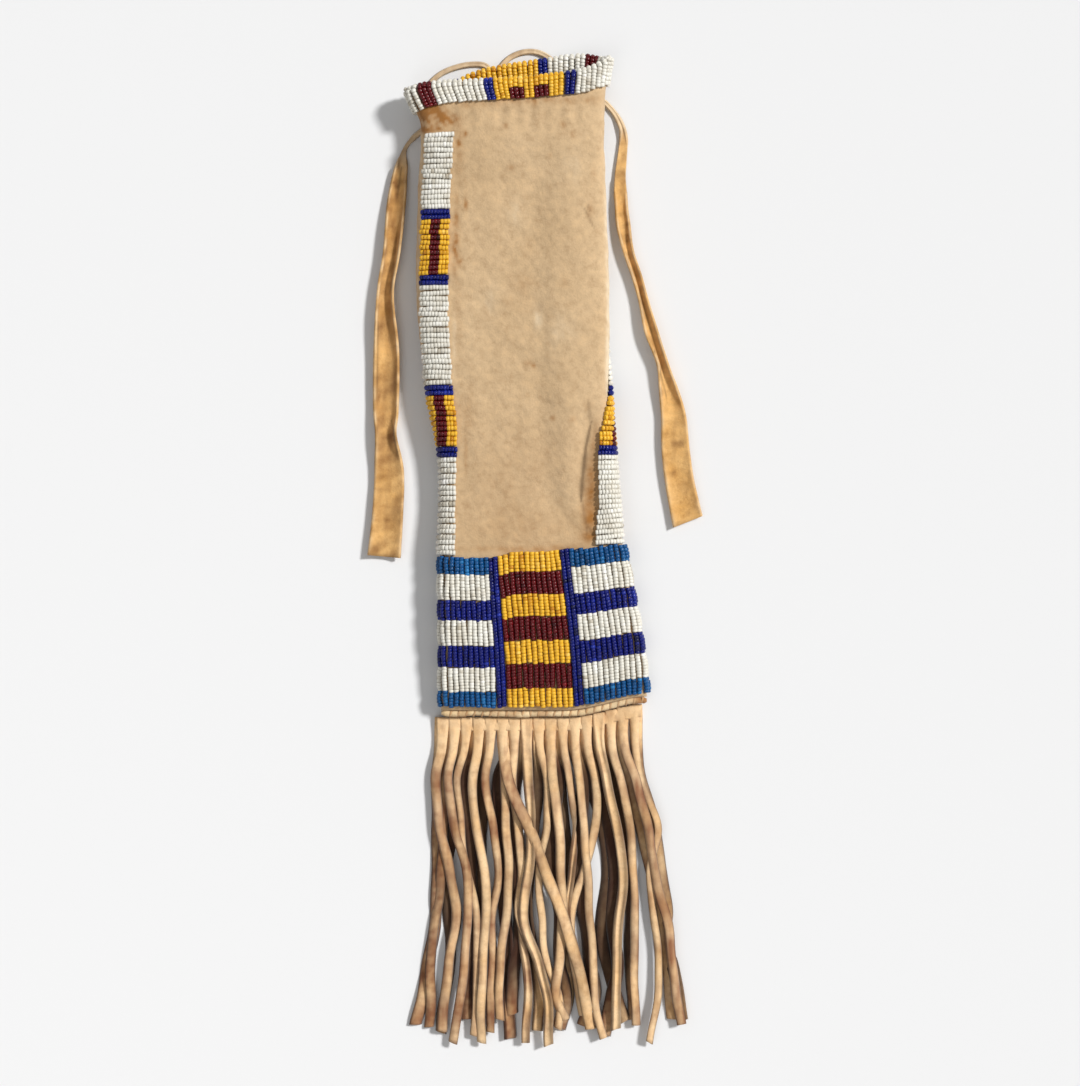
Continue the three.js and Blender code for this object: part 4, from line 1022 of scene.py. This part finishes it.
def thong_piece():
    """The whole strip from the end of one tie to the end of the other. Its real widths are given by
    the number of stops from either tie's own first one."""
    line = centripetal(LAY, 10)
    stop = np.arange(len(line)) / 10
    right = stop - (len(LAY) - len(RIGHT_TIE))
    real_width = np.where(stop < 12, left_width(stop), right_width(right))
    path, widths = line[:, :3].copy(), np.minimum(line[:, 3], real_width * 0.995)
    off_floor = np.clip(0.5 + 0.5 * ripple(path, 31, 34.0), 0, 1.4) * 0.9
    path[:, 2] += ((stop < 9) | (right > 1)) * off_floor
    points, quads = strip_mesh(path, widths, real_width, THONG_THICK, TIE_SIDES, cut=1.2)
    points[:, 2] = np.maximum(points[:, 2], ABOVE_FLOOR)
    in_tie = np.repeat(np.maximum(smooth((9.8 - stop) / 1.2), smooth((right + 1.5) / 2)), 2 * TIE_SIDES)
    edge = np.tile(ring_across(TIE_SIDES), len(path)) ** 8 * in_tie
    edge = edge * np.clip(0.6 + 0.6 * ripple(points, 44, 9.0), 0.1, 1)
    stain_and_shade = 0.14 - 0.16 * np.sign(points[:, 0])
    stain_and_shade = stain_and_shade + 0.16 * ripple(points, 41, 16.0) + 0.14 * ripple(points, 42, 5.0)
    stain_and_shade = np.clip(stain_and_shade * (1 - edge) + spots(points, TIE_STAINS, 43), 0, 0.85)
    pale = np.clip(0.35 * edge + 0.7 * (1 - in_tie), 0, 0.85)
    print("strip along its middle: %.0f mm" % np.linalg.norm(np.diff(path, axis=0), axis=1).sum())
    # The shade attribute is painted shade in the folds.
    return mesh_piece("neck_thong_strip", points, quads, {
        "stain_and_shade": stain_and_shade, "pale": pale, "shade": strokes(points, TIE_FOLD_SHADE, 0.45)})


dress(thong_piece(), tie_hide, ["neck_thong"])

# %% [markdown]
# ## Welt and fringe
# A narrow folded strip closes the foot seam, sewn with small stitches. It is an oval carried along
# the foot, a little thinner at each stitch. Under it the fringe is cut from bands of hide: two layers
# of strands that wave, turn on themselves and cross.

# %% Welt
WELT_WIDTH, WELT_THICK, WELT_LEVEL, WELT_TUCK, STITCH = 3.2, 3.4, 4.9, 0.3, 3.6
WELT_RINGS, WELT_SIDES = 260, 14


def foot_rise(x):
    """The foot's climb at X."""
    return FOOT_RISE * smooth(((x - FOOT_MIDDLE) / FOOT_W - 0.2) / 0.85)


def welt_middle(x):
    """The welt's middle line at X, tucked a little over the foot's edge."""
    return foot_rise(x) + WELT_TUCK - WELT_WIDTH / 2


def welt_piece():
    """A rounded roll along the foot: an oval carried across, pinched at each stitch."""
    u = np.linspace(-1, 1, WELT_RINGS)
    x = FOOT_MIDDLE + u * (FOOT_W - 0.1)
    turn = 2 * np.pi * np.arange(WELT_SIDES) / WELT_SIDES
    pinch = 1 - 0.12 * np.abs(np.sin(x * np.pi / STITCH)) ** 8
    size = (pinch * np.sqrt(np.clip(1 - np.abs(u) ** 60, 0.3, 1)))[:, None]
    y = welt_middle(x) + 0.3 * ripple(np.stack([x, 0 * x, 0 * x], -1), 51, 17.0)
    points = np.stack(np.broadcast_arrays(
        x[:, None], y[:, None] + np.cos(turn) * WELT_WIDTH / 2 * size,
        WELT_LEVEL + np.sin(turn) * WELT_THICK / 2 * size), -1).reshape(-1, 3)
    right_end = np.exp(-((points[:, 0] - 47) / 5) ** 2)
    stain_and_shade = np.clip(0.05 + 0.25 * ripple(points, 52, 8.0) + 0.6 * right_end, 0, 0.8)
    # Painted shade on the roll's side towards the fringe, with small uneven waves.
    lower = np.tile(np.clip(-np.cos(turn) - 0.5, 0, 1), WELT_RINGS)
    shade = np.clip(0.3 * lower + 0.1 * ripple(points, 53, 3.0), 0, 0.3)
    return mesh_piece("foot_welt_roll", points, tube_faces(WELT_RINGS, WELT_SIDES), {
        "stain_and_shade": stain_and_shade, "shade": shade})


def stitches_piece():
    """Whip stitches over the welt: short arcs of thread, one at each pinch."""
    rng = np.random.default_rng(57)
    places = (np.arange(-11, 14) + 0.5) * STITCH
    places = places[np.abs(places - FOOT_MIDDLE) < FOOT_W - 2]
    angle = np.linspace(-0.1, np.pi + 0.1, 9)
    along, up = WELT_WIDTH / 2 * 0.86 + 0.1, WELT_THICK / 2 * 0.84 + 0.12
    points, quads = [], []
    for k, x in enumerate(places):
        slant = rng.normal(0.5, 0.15)
        path = np.stack([x + slant * np.cos(angle), welt_middle(x) + along * np.cos(angle),
                         WELT_LEVEL + up * np.sin(angle)], -1)
        p, q = strip_mesh(path, np.full(9, 0.5), np.full(9, 0.7), 0.35, 4)
        points.append(p)
        quads.append(q + k * len(p))
    points = np.concatenate(points)
    print("stitches:", len(places))
    stain_and_shade = np.full(len(points), 0.55)
    return mesh_piece("foot_welt_stitches", points, np.concatenate(quads), {"stain_and_shade": stain_and_shade})


dress(welt_piece(), welt_hide, ["foot_welt"])
dress(stitches_piece(), welt_hide, ["foot_welt"])

# %% [markdown]
# A hair or cloth simulation would drop the strands anywhere. Here each has its own way down, as it
# lies in the photograph: where its middle is at seven levels and at its tip, and the tip's level. The
# sixth strand of the back layer slid over all the others when the pouch was laid down.

# %% Ways of the strands
STRAND_LEVELS = [-10.7, -31.4, -52.0, -72.7, -93.3, -114.0, -129.5]
FRONT_STRANDS = [
    (-41.6, -45.0, -42.4, -38.3, -35.7, -38.3, -40.4, -41.9, -145.0),
    (-36.2, -39.3, -36.2, -30.5, -30.5, -31.1, -33.6, -37.3, -150.2),
    (-30.9, -35.2, -33.1, -30.5, -26.4, -25.9, -26.4, -27.7, -147.1),
    (-25.3, -28.0, -26.4, -22.8, -21.8, -23.3, -24.3, -23.8, -150.2),
    (-19.9, -22.3, -19.2, -16.1, -19.2, -19.2, -19.7, -19.7, -145.5),
    (-14.5, -13.5, -12.5, -11.9, -13.0, -15.0, -16.1, -16.1, -139.8),
    (-9.1, -9.9, -7.8, -5.8, -6.8, -4.2, -3.2, -3.7, -150.2),
    (-3.6, -2.7, -1.6, -2.7, -4.7, 1.5, 5.6, 6.6, -151.2),
    (1.8, 5.6, 5.6, 1.5, 3.5, 5.6, 10.8, 10.8, -144.0),
    (7.2, 8.2, 10.8, 11.8, 12.8, 10.8, 9.7, 13.9, -139.8),
    (12.7, 15.9, 18.0, 16.5, 15.4, 20.1, 23.2, 24.2, -139.8),
    (18.1, 20.1, 22.1, 24.2, 24.7, 26.3, 27.3, 31.4, -148.1),
    (23.5, 27.3, 27.8, 22.1, 16.5, 18.0, 20.1, 22.1, -137.8),
    (29.0, 32.5, 37.1, 39.7, 38.2, 37.1, 36.6, 36.1, -144.0),
    (34.4, 38.7, 42.8, 44.9, 44.9, 45.1, 45.4, 45.4, -142.4),
    (39.8, 45.9, 50.5, 54.2, 59.3, 62.4, 64.5, 66.0, -141.9),
    (45.2, 48.0, 55.2, 52.1, 54.2, 55.7, 55.2, 52.1, -150.2),
]
BACK_STRANDS = [
    (-42.4, -44.0, -44.0, -43.5, -45.0, -48.1, -50.2, -53.8, -142.4),
    (-37.3, -40.9, -40.9, -41.9, -45.0, -46.6, -47.1, -48.1, -143.4),
    (-31.6, -37.3, -37.3, -38.8, -39.3, -38.3, -40.4, -42.4, -146.0),
    (-26.4, -31.6, -29.5, -28.5, -29.5, -29.5, -30.5, -31.1, -139.8),
    (-20.7, -24.3, -24.3, -24.3, -24.9, -26.4, -26.9, -26.9, -142.9),
    (-14.5, -11.9, -2.7, 4.6, 12.8, 19.6, 22.7, 25.2, -144.0),
    (-9.9, -16.1, -15.0, -13.5, -13.0, -11.9, -11.9, -10.9, -148.6),
    (-4.2, -7.8, -8.9, -8.9, -6.8, -8.9, -9.9, -9.9, -137.8),
    (1.5, 1.5, 0.4, -2.7, -2.7, 0.4, 1.5, 1.5, -145.0),
    (6.6, 10.8, 7.7, 6.6, 11.8, 11.8, 13.9, 10.8, -144.0),
    (11.8, 11.8, 13.9, 15.4, 15.9, 13.9, 15.9, 13.4, -139.8),
    (17.5, 22.1, 20.1, 21.1, 22.1, 25.2, 27.3, 22.1, -142.9),
    (23.2, 24.2, 31.4, 32.5, 30.4, 32.5, 36.6, 41.3, -140.9),
    (28.9, 30.4, 33.5, 36.6, 34.5, 37.6, 34.5, 32.0, -147.1),
    (34.0, 35.6, 40.7, 42.8, 43.8, 43.8, 44.9, 44.9, -139.8),
    (39.2, 42.8, 48.0, 52.1, 57.3, 59.3, 61.4, 62.4, -139.8),
    (45.9, 47.4, 54.2, 56.7, 59.8, 62.4, 65.0, 66.6, -139.8),
]
print("strands:", len(FRONT_STRANDS) + len(BACK_STRANDS))

# %% [markdown]
# A strand is as wide as its share of the band at the top, and narrower below, where its edges dried
# and curled. Small random waves, a lift over the strands that it crosses and a turn here and there
# keep two strands from looking alike. The random numbers are seeded, so they fall the same each time.

# %% Shape of a strand
FRINGE_LENGTH, FRINGE_BAND, FRINGE_THICK, STRANDS, STRAND_SHARE, STRAND_SIDES = 148.4, 7.2, 1.3, 17, 0.88, 7
fringe_left = curve_through([(0, -1.03), (0.06, -1.035), (0.16, -1.09), (0.28, -1.06)])
fringe_right = curve_through([(0, 0.975), (0.06, 0.965), (0.16, 0.975), (0.23, 1.03)])


def under_welt(x):
    """The line at X where the fringe comes out from under the welt."""
    return foot_rise(x) - WELT_TUCK - WELT_WIDTH


def band_mesh(first, last, level, seed):
    """The uncut band at the top of a layer: a thin sheet with a soft wave. The strands grow out of
    its last fifth."""
    u = np.linspace(first, last - 1 + STRAND_SHARE, 60)
    w = np.linspace(0, 0.8 * FRINGE_BAND / FRINGE_LENGTH, 8)
    us, ws = np.meshgrid(u, w, indexing="ij")
    share = (us - (1 - STRAND_SHARE) / 2) / STRANDS
    x = FOOT_MIDDLE + FOOT_W * mix(fringe_left(ws), fringe_right(ws), share)
    y = under_welt(x) - ws * FRINGE_LENGTH
    base = level + 0.25 * ripple(np.stack([x, y, 0 * x], -1), seed, 14.0)
    over, under = np.stack([x, y, base + FRINGE_THICK], -1), np.stack([x, y, base], -1)
    sheet = np.concatenate([over, under[:, ::-1]], axis=1)
    return sheet.reshape(-1, 3), tube_faces(len(u), 2 * len(w))


def sway(hang, slow, fast, rng):
    """A sine wave down a strand, with a random number of radians in it and a random start."""
    return np.sin(hang * rng.uniform(slow, fast) + rng.uniform(0, 6))


def strand_path(row, level, lifted, rng):
    """A strand's middle line: a smooth way through its places, with small waves, lifted over the
    strands that it crosses and coming down again towards its tip. hang is 0 at the slit, 1 at the tip."""
    xs, tip = np.array(row[:-1]), row[-1]
    top = under_welt(xs[0]) + 0.2
    slit = top - FRINGE_BAND
    stops = [(xs[0], top, 0), (xs[0], mix(top, slit, 0.6), 0), (mix(xs[0], xs[1], 0.2), -18.0, 0)]
    stops += [(x, y, 0) for x, y in zip(xs[1:-1], STRAND_LEVELS[1:])] + [(xs[-1], tip, 0)]
    line = centripetal(stops, 12)
    hang = np.clip((slit - line[:, 1]) / (slit - tip), 0, 1)
    wave = sway(hang, 12, 20, rng) + 0.5 * sway(hang, 26, 40, rng)
    line[:, 0] += 0.35 * wave * smooth(hang * 3)
    wander = 0.2 * smooth(hang * 3) * (1 + sway(hang, 6, 12, rng))
    over = lifted * smooth((hang - 0.01) / 0.16) * (1 - 0.5 * smooth((hang - 0.88) / 0.12))
    line[:, 2] = level + FRINGE_THICK / 2 + wander + over
    return line, hang


def strand_mesh(row, level, lifted, widest, on_top, rng):
    """One strand: as wide as its share of the band at the top, then curled along its length, and
    some are turned over once."""
    path, hang = strand_path(row, level, lifted, rng)
    cut = smooth((path[0, 1] - path[:, 1]) / (FRINGE_BAND * 1.9))
    real_width = mix(5.4, 4.9 if on_top else widest * rng.uniform(0.78, 1.12), cut)
    least, most = (0.9, 0.98) if on_top else (0.78, 0.97)
    shown = mix(0.999, mix(least, most, 0.5 + 0.5 * sway(hang, 8, 16, rng)), cut) * real_width
    turns = 0.0 if on_top else rng.choice([0.0, 1.0, -1.0], p=[0.84, 0.08, 0.08])
    turn_at_hang = rng.uniform(0.25, 0.8)
    roll = np.pi * turns * smooth((hang - turn_at_hang + 0.15) / 0.3)
    roll = roll + 0.3 * sway(hang, 8, 18, rng) * smooth(hang * 4)
    path[:, 2] = np.maximum(path[:, 2], np.abs(np.sin(roll)) * shown / 2 + 0.3)
    curl = 1.0 if rng.random() < 0.2 else -1.0
    askew = rng.uniform(-0.7, 0.7)
    points, quads = strip_mesh(path, shown, real_width, FRINGE_THICK, STRAND_SIDES, curl, askew, roll)
    points[:, 2] = np.maximum(points[:, 2], ABOVE_FLOOR)
    edge = np.tile(ring_across(STRAND_SIDES), len(path)) ** 3
    return points, quads, edge, np.repeat(hang, 2 * STRAND_SIDES)


print("a strand's share of the band: %.1f mm" % (2 * FOOT_W / STRANDS))

# %% Fringe
def welt_shadow(points):
    """1 under the welt, fading out 1.2 mm below its edge."""
    return smooth((points[:, 1] - under_welt(points[:, 0]) + 1.2) / 1.2)


def fringe_layer(name, rows, first, last, level, seed, node):
    """The band and all strands of one layer as one piece. The back layer gets painted shade between the
    front strands, but not at its tips or on the outermost strands, which catch the light. Each
    strand's edges get a thin painted shade, and streaks of painted highlight and shade run along them."""
    rng = np.random.default_rng(seed * 7 + 11)
    is_back = node == "fringe_back"
    worn = 0.0 if is_back else 0.12
    points, quads = band_mesh(first, last, level - 0.4, seed)
    all_points, all_quads, start = [points], [quads], len(points)
    stain_and_shade, pale = [np.full(len(points), 0.08)], [np.full(len(points), 0.12)]
    shade = [0.25 * welt_shadow(points)]
    for strand in range(first, last):
        on_top = is_back and strand == 5
        lifted = 5.6 if on_top else 1.3 * (strand % 2) + (0.0 if is_back else 1.3)
        p, q, edge, hang = strand_mesh(rows[strand], level, lifted, 5.5 if is_back else 3.8, on_top, rng)
        down = smooth((hang - 0.01) / 0.14)
        # Painted shade on the back strands between the front ones.
        dark = 0.88 * (1 - 0.8 * smooth((hang - rng.uniform(0.66, 0.9)) / 0.2)) if is_back else 0.0
        dark = dark * (0.3 if strand in (0, 1, STRANDS - 2, STRANDS - 1) else 1.0)
        tone = np.clip(rng.normal(0.4, 0.2) if is_back else rng.normal(0.14, 0.24), 0.0, 0.65)
        if on_top:
            dark, tone = 0.0, 0.5 * (1 - smooth((hang - 0.25) / 0.25))
        all_points.append(p)
        all_quads.append(q + start)
        stain_and_shade.append(np.clip((tone + 0.16 * edge) * down, 0, 0.85))
        pale.append(np.full(len(p), worn))
        # Painted shade: thin dark lines along each strand's edges, and the shadow under the welt.
        shade.append(np.clip((dark + 0.6 * edge) * down + 0.25 * welt_shadow(p), 0, 0.92))
        start += len(p)
    points = np.concatenate(all_points)
    waves = 0.16 * ripple(points, seed + 60, 16.0) + 0.1 * ripple(points, seed + 61, 4.0)
    # Streaks along the strands: painted highlight and painted shade.
    waves += 0.12 * ripple(points * np.array([1.0, 0.12, 1.0]), seed + 62, 2.6)
    piece = mesh_piece(name, points, np.concatenate(all_quads), {
        "stain_and_shade": np.clip(np.concatenate(stain_and_shade) + waves, 0, 0.85),
        "pale": np.concatenate(pale), "shade": np.concatenate(shade)})
    return dress(piece, fringe_hide, [node])


SPLIT = math.ceil(STRANDS / 2)
fringe_layer("fringe_back_strands", BACK_STRANDS, 0, STRANDS, 0.05, 1, "fringe_back")
fringe_layer("fringe_front_left_strands", FRONT_STRANDS, 0, SPLIT, 1.7, 2, "fringe_front_left")
fringe_layer("fringe_front_right_strands", FRONT_STRANDS, SPLIT, STRANDS, 1.7, 3, "fringe_front_right")
print("fringe strands:", 2 * STRANDS)

# %% [markdown]
# ## Stage
# A hard lamp would hide half the fringe in its shadow. So the stage is a pale floor, a soft sun from
# the upper right, as in the photograph, a weak lamp to fill, and a pale sky. The camera and the gloss
# of the beads see the sky as white, and all else is lit by a third of it.

# %% Floor and lamps
def floor_piece():
    """A large pale square just under the pouch."""
    corners = [(x, y, -0.0002) for x, y in ((-3, -3), (3, -3), (3, 3), (-3, 3))]
    mesh = bpy.data.meshes.new("floor")
    mesh.from_pydata(corners, [], [(0, 1, 2, 3)])
    floor = bpy.data.objects.new("floor", mesh)
    bpy.context.scene.collection.objects.link(floor)
    material, shader, _ = new_material("pale_floor")
    set_inputs(shader, {"Base Color": (0.72, 0.72, 0.72, 1), "Roughness": 0.9})
    floor.data.materials.append(material)


def aim(light, place):
    """Puts a lamp at a place and points it at the middle of the pouch."""
    holder = bpy.data.objects.new(light.name, light)
    holder.location = place
    holder.rotation_euler = (-Vector(place)).to_track_quat("-Z", "Y").to_euler()
    bpy.context.scene.collection.objects.link(holder)


floor_piece()
key = bpy.data.lights.new("key", "SUN")
key.energy, key.angle = 3.6, math.radians(9)
aim(key, (1.9, 0.95, 2.0))
fill = bpy.data.lights.new("fill", "AREA")
fill.energy, fill.size = 5.0, 1.2
aim(fill, (-0.6, -0.9, 1.6))
world = bpy.data.worlds.new("studio")
bpy.context.scene.world = world
world.use_nodes = True
rays = world.node_tree.nodes.new("ShaderNodeLightPath")
strength = 0.36
for kind in ("Is Camera Ray", "Is Glossy Ray", "Is Transmission Ray"):
    brighter = world.node_tree.nodes.new("ShaderNodeMath")
    brighter.operation = "MAXIMUM"
    strength = set_inputs(brighter, {0: rays.outputs[kind], 1: strength}).outputs[0]
set_inputs(world.node_tree.nodes["Background"], {"Strength": strength, "Color": (1, 1, 1, 1)})
bpy.context.scene.view_settings.view_transform = "Standard"
print("lamps:", [light.name for light in bpy.data.lights])

# %% Finish
bpy.context.view_layer.update()
